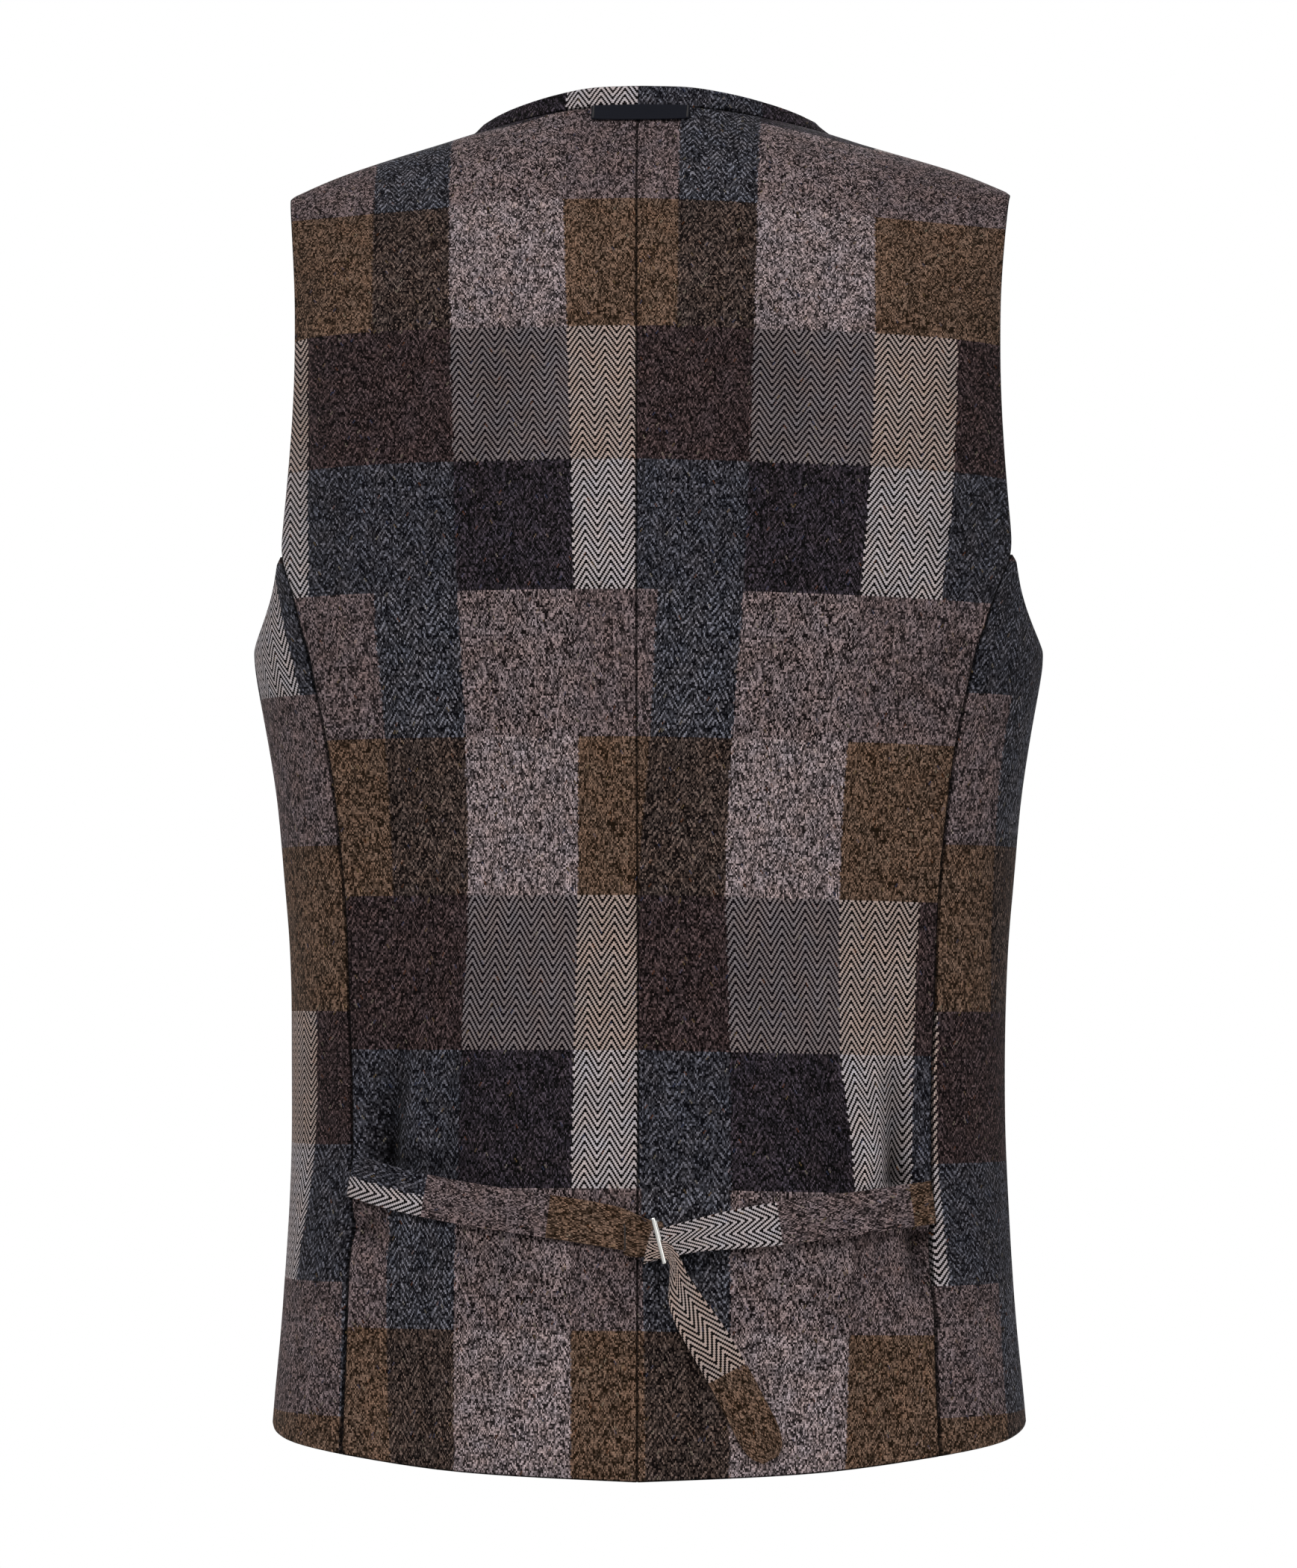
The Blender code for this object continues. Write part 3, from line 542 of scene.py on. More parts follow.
FRONT_TOP = table(
    ("outer", "inner", "y"),
    (60, 68, None), (61.8, 78, -20), (65.5, 88, -35), (73, 99, -48), (85, 111, -58.5),
    (101, 124, -66), (122, 142, -70.5), (145, 160, -71), (168, 176, -68), (186, 186, -63.2),
    (190, 190, -62.5),
)
UP_THE_NECK = Vector((0.0, -0.56, 0.83))
OVER_SHOULDER = Vector((-0.10, -0.98, -0.16))
OVER_SHOULDER_END = Vector((0.0, -0.98, -0.24))


# %% Smooth curves through a table
def hermite(start, end, start_way, end_way, t):
    return (
        start * (2 * t**3 - 3 * t**2 + 1)
        + end * (3 * t**2 - 2 * t**3)
        + start_way * (t**3 - 2 * t**2 + t)
        + end_way * (t**3 - t**2)
    )


def track(rows, name):
    """One named column as a smooth function of h that never overshoots its rows."""
    at = [row["h"] for row in rows]
    value = [row[name] for row in rows]
    step = [(value[i + 1] - value[i]) / (at[i + 1] - at[i]) for i in range(len(at) - 1)]
    slope = [step[0]]
    for before, after in zip(step, step[1:]):
        slope.append(0.0 if before * after <= 0 else 2 * before * after / (before + after))
    slope.append(step[-1])

    def value_at(h):
        if h <= at[0]:
            return value[0] + slope[0] * (h - at[0])
        if h >= at[-1]:
            return value[-1] + slope[-1] * (h - at[-1])
        i = max(k for k in range(len(at) - 1) if at[k] <= h)
        span = at[i + 1] - at[i]
        ways = slope[i] * span, slope[i + 1] * span
        return hermite(value[i], value[i + 1], *ways, (h - at[i]) / span)

    return value_at


def ease(t):
    t = min(max(t, 0.0), 1.0)
    return t * t * (3 - 2 * t)


def mix(a, b, t):
    return a + (b - a) * t


def vector_track(rows):
    x, y, z = (track(rows, name) for name in "xyz")
    return lambda at: Vector((x(at), y(at), z(at)))


body = {name: track(BODY, name) for name in BODY[0] if name != "h"}
princess_x = track(PRINCESS, "x")
armhole_x = track(BACK_ARMHOLE, "x")
front_edge_x = track(FRONT_EDGE, "x")
side_seam_y = track(SIDE_SEAM, "y")
hem_z = track(HEM, "z")
centre_drift = track(CENTRE_BACK, "x")
neck_seam, neck_top = vector_track(NECK_SEAM), vector_track(NECK_TOP)
shoulder_seam = vector_track(SHOULDER_SEAM)

# %% The body's level sections
RING_STEPS = 96
NEAR_U, NEAR_H = 0.006, 2  # neighbours from which the way the cloth faces is taken
rings = {}


def ring(h):
    """Half a section, centre back to centre front: its points, and the length walked so far."""
    key = round(h, 3)
    if key not in rings:
        half, back, front, side, square = (body[name](h) for name in body)
        points = []
        for i in range(RING_STEPS + 1):
            angle = math.pi * i / RING_STEPS
            x = half * abs(math.sin(angle)) ** (2 / square)
            run = abs(math.cos(angle)) ** (2 / square)
            y = side + (back - side) * run if angle < math.pi / 2 else side - (front + side) * run
            points.append((x if 0 < i < RING_STEPS else 0.0, y))
        length = [0.0]
        for a, b in zip(points, points[1:]):
            length.append(length[-1] + math.dist(a, b))
        rings[key] = (points, length)
    return rings[key]


def ring_length(h):
    return ring(h)[1][-1]


def seam_trim(h):
    return GAP / 2 / ring_length(h)


def skin(u, h):
    """The outside of the cloth at share u of the half section: 0 centre back, 1 centre front."""
    turn = -1.0 if u < 0 or u > 1 else 1.0
    u = -u if u < 0 else 2 - u if u > 1 else u
    points, length = ring(h)
    want = u * length[-1]
    low, high = 0, RING_STEPS
    while high - low > 1:
        middle = (low + high) // 2
        low, high = (middle, high) if length[middle] <= want else (low, middle)
    t = (want - length[low]) / (length[high] - length[low])
    (x0, y0), (x1, y1) = points[low], points[high]
    return Vector((turn * mix(x0, x1, t), mix(y0, y1, t), h))


def skin_normal(u, h):
    across = skin(u + NEAR_U, h) - skin(u - NEAR_U, h)
    up = skin(u, h + NEAR_H) - skin(u, h - NEAR_H)
    return up.cross(across).normalized()


def share_of(h, reached):
    """The share u at which reached(x, y) first holds, walking from the centre back."""
    points, length = ring(h)
    for i in range(1, RING_STEPS + 1):
        after = reached(*points[i])
        if after >= 0:
            before = reached(*points[i - 1])
            t = before / (before - after) if before != after else 0.0
            return mix(length[i - 1], length[i], t) / length[-1]
    return 1.0


def u_back(h, x):
    return share_of(h, lambda px, py: px - x if py > body["side"](h) else 1.0)


def u_front(h, x):
    u = share_of(h, lambda px, py: abs(x) - px if py < body["side"](h) else -1.0)
    return u if x >= 0 else 2 - u


def u_depth(h, y):
    return share_of(h, lambda px, py: y - py)


# %% [markdown]
# ## Where each panel was cut
#
# On the real garment the blocks do not run level round the body: each panel was cut from its own
# place on the cloth. A map does the same. Its first number is millimetres across the cloth from
# the start of a stripe repeat, its second is millimetres down the cloth from the start of a band
# repeat. On the back, darts of ease at the waist pull the stripes towards the centre seam, so the
# tables below say where each line between two stripes lies at each height.

# %% Stripe lines and band lines
S1, S2, S3, S4 = STRIPE_MM
LINE_12, LINE_23, LINE_34, LINE_41 = S1, S1 + S2, S1 + S2 + S3, S1 + S2 + S3 + S4
A, B, C, D = BAND_MM
WEFT_REPEAT = A + B + C + D

LINES_LEFT = table(
    ("h", "41", "34", "23", "12"),
    (-320, 29.5, 84, 111.8, 145), (-250, 29.7, 84, 114.5, 146), (-185, 30, 83.5, 114.6, 147),
    (-120, 29, 81, 113, 147), (-50, 27, 77, 112.3, 147), (20, 26.4, 78, 115.7, 150),
    (85, 28.2, 81.9, 121.2, 154.7), (140, 30.2, 84, 123.5, 156.3), (204, 33, 87.5, 124.5, 158),
    (290, 37.5, 91, 127, 159),
)
LINES_RIGHT = table(
    ("h", "23", "34", "41", "12"),
    (-320, 4.4, 42, 94.5, 130), (-250, 3.4, 42.5, 97, 130), (-185, 2, 42.7, 99.5, 124.5),
    (-120, 1.5, 42.5, 91.5, 125.4), (-50, 1.2, 40.7, 92, 128.8), (20, 6.7, 44, 96, 134),
    (85, 10, 49.2, 102, 139.5), (140, 13.5, 51.6, 106, 144.5), (204, 17.9, 52.6, 108.5, 146.2),
    (290, 17, 54, 107.5, 147),
)
LINE_PLACES = {
    1: (("41", LINE_41), ("34", LINE_34), ("23", LINE_23), ("12", LINE_12)),
    -1: (("23", LINE_23), ("34", LINE_34), ("41", LINE_41), ("12", LINE_41 + LINE_12)),
}
line_tracks = {
    side: {name: track(rows, name) for name in ("12", "23", "34", "41")}
    for side, rows in ((1, LINES_LEFT), (-1, LINES_RIGHT))
}
# Heights at which one band of weft gives way to the next, from the hem up.
BACK_BANDS = table(
    ("h", "down"),
    (-319, WEFT_REPEAT + A + 70), (-251, WEFT_REPEAT + A), (-186.8, WEFT_REPEAT),
    (-124.3, A + B + C), (-54, A + B), (17.5, A), (84.5, 0), (144.5, -D), (207.7, -D - C),
    (272, -D - C - B),
)
SIDE_BANDS = table(
    ("left", "right", "down"),
    (-350, -350, WEFT_REPEAT + A + 58), (-291.7, -291.7, WEFT_REPEAT + A),
    (-231, -232, WEFT_REPEAT), (-167.6, -176.6, A + B + C), (-107, -107, A + B),
    (-30.5, -30.5, A), (39, 39, 0), (102, 102, -D), (172, 172, -D - C), (245, 245, -D - C - B),
)
back_down = track(BACK_BANDS, "down")
BAND_DROP = {1: 0.0, -1: 3.0 / 130}  # the bands of the right half sag a little towards its side
side_down = {
    side: track([{"h": row[word], "down": row["down"]} for row in SIDE_BANDS], "down")
    for word, side in SIDES
}
UP_SHOULDER = 1.05  # the cloth eased into the shoulder
SHOULDER_DROP = {1: 0.18, -1: 0.28}  # and more of it towards the armhole


def stripe_place(x, h, side):
    """Millimetres across the cloth for a place on the back at distance x from its middle."""
    rows = [
        {"h": line_tracks[side][name](h), "across": across} for name, across in LINE_PLACES[side]
    ]
    for end, outside in ((rows[0], x < rows[0]["h"]), (rows[-1], x > rows[-1]["h"])):
        if outside:
            return end["across"] - side * (x - end["h"])
    return track(rows, "across")(x)


# %% [markdown]
# ## Panels as rows of points
#
# Each panel is laid out as rows from the hem up, so that both sides of a seam share their
# heights. A grid of a few hundred faces is enough, because a Subdivision Surface turns it into
# smooth cloth. Drawing every small face by its own formula would only be slower.

# %% Rows of each panel: (point, normal, place on the cloth)
NEAR = 0.01  # the same for shares of a panel
BLADE_FROM, BLADE_OVER = 0.25, 0.35  # from this share of the back on, it bulges over the blade
BACK_PULL = (1.12, 0.92)  # how far the curve runs straight on at its foot and its top
FRONT_PULL = (1.05, 0.85)


def slanted(u_start, h_start, u_end, h_end, columns):
    row = []
    for j in range(columns + 1):
        u, h = mix(u_start, u_end, j / columns), mix(h_start, h_end, j / columns)
        row.append((skin(u, h), skin_normal(u, h), u))
    return row


def hem_rows(ends, columns):
    rows = []
    for i in range(HEM_ROWS):
        row = []
        for j in range(columns + 1):
            h = mix(hem_z(mix(*ends(HEM_LEVEL), j / columns)), LEVELS[0], i / HEM_ROWS)
            u = mix(*ends(h), j / columns)
            row.append((skin(u, h), skin_normal(u, h), u))
        rows.append(row)
    return rows


def level_rows(ends, columns):
    """Rows from the hem to the underarm."""
    rows = hem_rows(ends, columns)
    for h in LEVELS:
        start, end = ends(h)
        rows.append(slanted(start, h, end, h, columns))
    return rows


def back_u(s, h):
    seamed = h < PRINCESS_END
    edge = u_back(h, princess_x(h)) - seam_trim(h) if seamed else u_back(h, armhole_x(h))
    return mix(seam_trim(h), edge, s)


def back_low(s, h, side):
    point = skin(back_u(s, h), h)
    if h > CENTRE_BACK[0]["h"]:
        point.x += side * centre_drift(h) * (1 - s)
    return point


def along_shoulder(w):
    """A point of the shoulder seam, and the way the cloth runs over it."""
    return shoulder_seam(w), OVER_SHOULDER.lerp(OVER_SHOULDER_END, w).normalized()


def back_top_edge(s):
    if s < NECK_SHARE:
        v = s / NECK_SHARE
        return neck_seam(v), UP_THE_NECK.lerp(OVER_SHOULDER, ease(v)).normalized()
    return along_shoulder((s - NECK_SHARE) / (1 - NECK_SHARE))


def back_high(s, t, side):
    start = back_low(s, BACK_TOP, side)
    rise = (start - back_low(s, BACK_TOP - 4, side)).normalized()
    end, way = back_top_edge(s)
    end = end - way * (GAP / 2)
    end.x += (side * centre_drift(MOUNT) + GAP / 2) * max(1 - s / NECK_SHARE, 0.0)
    reach = (end - start).length
    bend = ease((s - BLADE_FROM) / BLADE_OVER)
    foot, top = (mix(1.0, pull, bend) for pull in BACK_PULL)
    return hermite(start, end, rise * reach * foot, way * reach * top, t)


def back_high_normal(s, t, side):
    across = back_high(min(s + NEAR, 1.0), t, side) - back_high(max(s - NEAR, 0.0), t, side)
    up = back_high(s, min(t + NEAR, 1.0), side) - back_high(s, min(t, 1.0 - NEAR), side)
    normal = up.cross(across)
    if s == 0:
        normal.x = 0.0
    return normal.normalized()


def back_panel(side):
    """Rows of the back, each corner with its place on the cloth."""
    shares = [j / BACK_COLUMNS for j in range(BACK_COLUMNS + 1)]
    rows = hem_rows(lambda h: (back_u(0, h), back_u(1, h)), BACK_COLUMNS)
    for h in BACK_LEVELS:
        rows.append([(back_low(s, h, side), skin_normal(back_u(s, h), h), 0) for s in shares])
    for i in range(BACK_HIGH_ROWS + 1):
        t = i / BACK_HIGH_ROWS
        rows.append([(back_high(s, t, side), back_high_normal(s, t, side), 0) for s in shares])
    out = []
    for row in rows:
        placed = []
        for j, (point, normal, _) in enumerate(row):
            if point.z <= BACK_TOP + 0.01:
                down = back_down(point.z + BAND_DROP[side] * point.x)
            else:
                before = out[-1][j]
                eased = UP_SHOULDER + SHOULDER_DROP[side] * j / BACK_COLUMNS
                down = before[2][1] - eased * (point - before[0]).length
            placed.append((point, normal, (stripe_place(point.x, point.z, side), down)))
        out.append(placed)
    return out


# %% Side backs
SIDE_EASE = 0.74  # the side backs are pressed and shrunk into the hollow of the waist
SIDE_SEAM_PLACE = {
    1: table(("h", "at"), (-310, 68.4), (-252, 69.4), (-230, 70), (-200, 64), (-169, 57.5),
             (-105, 55.2), (-30, 51), (40, 46.5), (80, 48)),
    -1: table(("h", "at"), (-310, 30), (-232, 31), (-204, 33.2), (-176, 35.4), (-150, 35.7),
              (-100, 36.5), (-29, 39), (32, 42), (60, 44)),
}


def side_ends(h):
    trim = seam_trim(h)
    return u_back(h, princess_x(h)) + trim, u_depth(h, side_seam_y(h)) - trim


def side_panel(side):
    rows = level_rows(side_ends, SIDE_COLUMNS)
    for top in SIDE_TOP:
        inner, outer = top["inner"], top["outer"]
        u_outer = side_ends(outer)[1] if top["y"] is None else u_depth(outer, top["y"])
        rows.append(slanted(side_ends(inner)[0], inner, u_outer, outer, SIDE_COLUMNS))
    seam_at = track(SIDE_SEAM_PLACE[side], "at")
    out = []
    for row in rows:
        placed = []
        for point, normal, u in row:
            h = point.z
            arc = (u - side_ends(h)[0]) * ring_length(h)
            place = (seam_at(h) - side * SIDE_EASE * arc, side_down[side](h))
            placed.append((point, normal, place))
        out.append(placed)
    return out


# %% Fronts
FRONT_CENTRE = {1: 20.0, -1: 55.5}  # where the centre front lies across the cloth
FRONT_HIGH = 190.0


def front_ends(h):
    return u_depth(h, side_seam_y(h)) + seam_trim(h), u_front(h, front_edge_x(h))


def shoulder_end(s):
    seam_share = 1 - BAND_SHARE
    if s < seam_share:
        return along_shoulder(1 - s / seam_share)
    t = (s - seam_share) / BAND_SHARE
    return shoulder_seam(0).lerp(neck_top(1), t), OVER_SHOULDER.normalized()


def front_panel(side):
    rows = level_rows(front_ends, FRONT_COLUMNS)
    for top in FRONT_TOP:
        inner, outer = top["inner"], top["outer"]
        u_outer = front_ends(outer)[0] if top["y"] is None else u_depth(outer, top["y"])
        rows.append(slanted(u_outer, outer, front_ends(inner)[1], inner, FRONT_COLUMNS))
    before, last = rows[-2:]
    del rows[-2]

    def high(j, t):
        start = last[j][0]
        rise = (start - before[j][0]).normalized()
        end, way = shoulder_end(j / FRONT_COLUMNS)
        end = end + way * (GAP / 2)
        reach = (end - start).length
        foot, top = FRONT_PULL
        return hermite(start, end, rise * reach * foot, way * -reach * top, t)

    for i in range(1, FRONT_HIGH_ROWS + 1):
        t = i / FRONT_HIGH_ROWS
        row = []
        for j in range(FRONT_COLUMNS + 1):
            across = high(min(j + 1, FRONT_COLUMNS), t) - high(max(j - 1, 0), t)
            up = high(j, min(t + NEAR, 1.0)) - high(j, t - NEAR)
            row.append((high(j, t), up.cross(across).normalized(), None))
        rows.append(row)

    out = []
    for row in rows:
        placed = []
        for j, (point, normal, u) in enumerate(row):
            if u is not None:
                arc = (1 - u) * ring_length(point.z)
                down = side_down[side](point.z)
            else:
                arc = (1 - u_front(FRONT_HIGH, point.x)) * ring_length(FRONT_HIGH)
                before_it = out[-1][j]
                down = before_it[2][1] - (point - before_it[0]).length
            placed.append((point, normal, (FRONT_CENTRE[side] + side * arc, down)))
        out.append(placed)
    return out


# %% Neck bands
BAND_COLUMNS, BAND_ROWS, BAND_END = 12, 2, 0.985
BAND_CUT = {1: (34.5, -1), -1: (43.4, 1)}  # across the cloth at the centre back, and its way
BAND_DOWN, BAND_HIGH = A + B + C + 25.0, 11.0
BAND_LEVELS_FROM, BAND_LEVELS_OVER = 0.6, 0.38  # where it turns to lie along the shoulder seam


def band_panel(side):
    """The strip round the back neck. It is cut along the weft, so the stripes cross it."""

    def at(v, t):
        low, top = neck_seam(v), neck_top(v)
        point = (low + (top - low).normalized() * GAP).lerp(top, t)
        point.x += (side * centre_drift(MOUNT) + GAP / 2) * (1 - v)
        return point

    over = OVER_SHOULDER.normalized()
    start, way = BAND_CUT[side]
    rows = []
    for i in range(BAND_ROWS + 1):
        t = i / BAND_ROWS
        row, arc = [], 0.0
        for j in range(BAND_COLUMNS + 1):
            v = BAND_END * j / BAND_COLUMNS
            across = at(min(v + NEAR, 1), t) - at(max(v - NEAR, 0), t)
            normal = (at(v, 1) - at(v, 0)).cross(across).normalized()
            if j == 0:
                normal.x = 0.0
            turned = ease((v - BAND_LEVELS_FROM) / BAND_LEVELS_OVER)
            normal -= over * normal.dot(over) * turned
            if row:
                arc += (at(v, t) - row[-1][0]).length
            place = (start + way * arc, BAND_DOWN - BAND_HIGH * t)
            row.append((at(v, t), normal.normalized(), place))
        rows.append(row)
    return rows


# %% [markdown]
# ## Creases
#
# Cloth that is worn never lies flat. A simulation would need a wearer to push against, so the
# creases are listed one by one: each is a soft trough along a short line. The belt draws the
# cloth in beside its ends, and the fronts drag a little towards each button. A slow swell is
# added all over. It only ever goes inwards, so nothing touches what lies on the cloth.

# %% Troughs along short lines
CREASE_COLUMNS = ("x0", "h0", "x1", "h1", "width", "depth")
BACK_CREASES = table(
    CREASE_COLUMNS,
    (118.5, -173, 113, -128, 8, 9), (104, -176, 62, -184, 6, 3.4),
    (101, -162, 96, -112, 7.5, -2.2), (84, -172, 78, -120, 9, 2.6),
    (129, -206, 116, -207, 7, 6), (96, -212, 60, -216, 7, 2),
    (-119.5, -182, -118.5, -136, 7, 9), (-104, -174, -99, -130, 6.5, -2.4),
    (-91, -180, -84, -138, 8, 3), (-128, -210, -131, -232, 7, 8),
    (-112, -210, -70, -215, 5, 2.4), (-20, -236, -8, -300, 14, 1.6),
    (4, -226, 20, -262, 10, 1.6), (62, -220, 70, -300, 16, 1.6),
    (-92, -226, -100, -300, 13, 1.8), (150, 60, 120, 40, 12, 1.6),
    (-150, 60, -120, 38, 12, 1.6), (92, 270, 44, 262, 7, 0.9),
    (80, 284, 30, 278, 6, 0.7), (-70, 262, -110, 268, 9, 1),
    (60, 200, 76, 60, 20, 1.6), (-56, 205, -74, 66, 20, 1.6),
)
FRONT_CREASES = table(
    CREASE_COLUMNS,
    (16, 4, 62, 20, 7, 1.4), (-24, 2, -66, 16, 7, 1.4), (22, -116, 88, -102, 8, 1.8),
    (-26, -118, -90, -100, 8, 1.8), (24, -178, 92, -194, 9, 1.4), (-26, -180, -94, -192, 9, 1.4),
    (134, 76, 96, 44, 11, 2.2), (-134, 76, -98, 46, 11, 2.2),
)
SWELL, SWELL_SIZE = 1.3, 0.075  # millimetres deep, metres from one swell to the next
DEEPEST = 0.008  # a crease this deep, in metres, gets the full painted shade in its colour
CREASE_FADES = 0.65  # of its depth, from its start to its end
NECK_CALM = 0.020  # within this of the neck seam the cloth sinks less and less
NECK_POINTS = 12


def on_back(x, h):
    point = skin(u_back(h, min(abs(x), body["half"](h) - 1)), h)
    return Vector((math.copysign(point.x, x), point.y, h))


def on_front(x, h):
    point = skin(u_front(h, abs(x)), h)
    return Vector((math.copysign(point.x, x), point.y, h))


def crease_lines():
    lines = []
    for on, creases in ((on_back, BACK_CREASES), (on_front, FRONT_CREASES)):
        for crease in creases:
            ends = []
            for x, h in ((crease["x0"], crease["h0"]), (crease["x1"], crease["h1"])):
                end = on(x, min(h, BACK_TOP))
                end.z = h
                ends.append(to_metres(end))
            lines.append((*ends, crease["width"] * 0.001, crease["depth"] * 0.001))
    return lines


crease_at = crease_lines()
neck_line = [
    to_metres(neck_seam(k / NECK_POINTS), side) for k in range(NECK_POINTS + 1) for _, side in SIDES
]
print("creases", len(crease_at))


def creased(place):
    """How deep the creases are at a place, both in metres."""
    depth = 0.0
    for start, end, width, deepest in crease_at:
        run = end - start
        t = min(max((place - start).dot(run) / run.length_squared, 0.0), 1.0)
        away = (place - start - run * t).length
        if away < 3 * width:
            depth += deepest * math.exp(-((away / width) ** 2)) * (1 - CREASE_FADES * t)
    return depth


def from_neck_seam(place):
    return min((place - point).length for point in neck_line)


def sunk(place):
    """How far the cloth sinks at a place, both in metres. At the neck seam it stays put."""
    swell = SWELL * 0.001 * (0.5 + 0.5 * noise.noise(place / SWELL_SIZE))
    return ease(from_neck_seam(place) / NECK_CALM) * (swell + creased(place))


# %% [markdown]
# ## Sewing a panel
#
# One function makes every panel: a grid takes the rows, a Subdivision Surface smooths it, each
# point sinks by its creases, an extrusion gives the cloth its thickness towards the inside, and a
# small Bevel turns the edge as a pressed seam does. Solidify would tilt the edges at a pressed
# seam and open it, so each point is told its own way inwards. At an edge that way leads a little
# past the edge, as a seam allowance does, and no light comes through.

# %% From rows to cloth
CLOTH_THICK = 0.0024
EDGE_TURN, SIDE_EDGE_TURN = 0.0006, 0.0009
SEAM_DIP = 0.0006  # the iron presses every edge a little lower
ALLOWANCE, BAND_ALLOWANCE = 0.0003, 0.0024  # the neck band's allowance lies under the back
BY_NECK_SEAM = 0.0045  # in metres, as are the lengths above
SMOOTHING = 3


def finish_piece(name, bm, materials, replaced):
    obj = object_from(name, bm)
    for material in materials:
        obj.data.materials.append(material)
    for face in obj.data.polygons:
        face.use_smooth = True
    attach(obj, "root")
    if replaced:
        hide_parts(*replaced)
    return obj


def grid_of(rows, side):
    """A grid whose corners take the rows' points and whose map takes their places on the cloth."""
    high, wide = len(rows) - 1, len(rows[0]) - 1
    bm = bmesh.new()
    bmesh.ops.create_grid(bm, x_segments=wide, y_segments=high, size=1)
    cloth_map = bm.loops.layers.uv.new("cloth")
    for vert in bm.verts:
        column, row = round((vert.co.x + 1) / 2 * wide), round((vert.co.y + 1) / 2 * high)
        point, _, (across, down) = rows[row][column]
        vert.co = to_metres(point, side)
        for loop in vert.link_loops:
            loop[cloth_map].uv = (across * 0.001, down * 0.001)
    return bm


def smoothed(bm, levels):
    """The same sheet after a Subdivision Surface."""
    draft = object_from("draft", bm)
    smooth = draft.modifiers.new("smooth", "SUBSURF")
    smooth.levels = smooth.render_levels = levels
    smooth.boundary_smooth = "PRESERVE_CORNERS"
    done = draft.evaluated_get(bpy.context.evaluated_depsgraph_get())
    out = bmesh.new()
    out.from_mesh(done.to_mesh())
    done.to_mesh_clear()
    mesh = draft.data
    bpy.data.objects.remove(draft)
    bpy.data.meshes.remove(mesh)
    return out


def face_outwards(bm, rows, side):
    """Turns the whole sheet over if it looks inwards."""
    point, normal, _ = rows[len(rows) // 2][len(rows[0]) // 2]
    middle = to_metres(point, side)
    near = min(bm.faces, key=lambda face: (face.calc_center_median() - middle).length)
    if near.normal.dot(Vector((side * normal.x, normal.y, normal.z))) < 0:
        bmesh.ops.reverse_faces(bm, faces=bm.faces)


def give_thickness(bm, inwards, inner_material=0):
    """Grows the inner face of a sheet and the edge between. inwards has a move for each point."""
    way = bm.verts.layers.float_vector.new("inwards")
    for vert, move in zip(bm.verts, inwards):
        vert[way] = move
    grown = bmesh.ops.extrude_face_region(bm, geom=bm.faces[:] + bm.edges[:], use_keep_orig=True)
    for part in grown["geom"]:
        if isinstance(part, bmesh.types.BMVert):
            part.co += part[way]
        elif isinstance(part, bmesh.types.BMFace):
            part.material_index = inner_material
    bmesh.ops.recalc_face_normals(bm, faces=bm.faces)
    bm.verts.layers.float_vector.remove(way)


def turn_edges(obj, turn, segments, material=-1):
    edge = obj.modifiers.new("turned_edge", "BEVEL")
    edge.width = turn
    edge.segments = segments
    edge.limit_method = "ANGLE"
    edge.angle_limit = math.radians(50)
    edge.material = material


def past_the_edge(vert, reach):
    """A short way out past the edge of the sheet."""
    centres = [face.calc_center_median() for face in vert.link_faces]
    out = vert.co - sum(centres, Vector()) / len(centres)
    return (out - vert.normal * out.dot(vert.normal)).normalized() * reach


# %% Seams, as each point of a panel sees them
CENTRE_REACH, SEAM_REACH = 0.9, 2.5  # a point this close to a seam, in millimetres, is on it
PRINCESS_SHADE, SEWN_SHADE, EDGE_SHADE = 1.0, 0.72, 0.5  # how strong the painted shade in each groove is
SHOULDER_FROM, SIDE_FROM = BACK_TOP + 40, 140  # a height, and a distance from the middle


def on_centre_seam(place):
    """True along the centre back, where both halves have to sink the same way to stay sewn."""
    seam_x = centre_drift(max(place.z * 1000 + MOUNT, CENTRE_BACK[0]["h"]))
    return place.y > 0 and abs(place.x * 1000 - seam_x) < CENTRE_REACH


def painted_seam_shade_at(vert):
    """How much painted shade the groove at an edge of the panel gets: most at the princess seams.
    """
    if not vert.is_boundary or on_centre_seam(vert.co):
        return 0.0
    x, y, h = abs(vert.co.x) * 1000, vert.co.y * 1000, vert.co.z * 1000 + MOUNT
    if y > 0 and h < PRINCESS_END and abs(x - princess_x(h)) < SEAM_REACH:
        return PRINCESS_SHADE
    at_side = x > SIDE_FROM and abs(y - side_seam_y(h)) < SEAM_REACH
    return SEWN_SHADE if h > SHOULDER_FROM or at_side else EDGE_SHADE


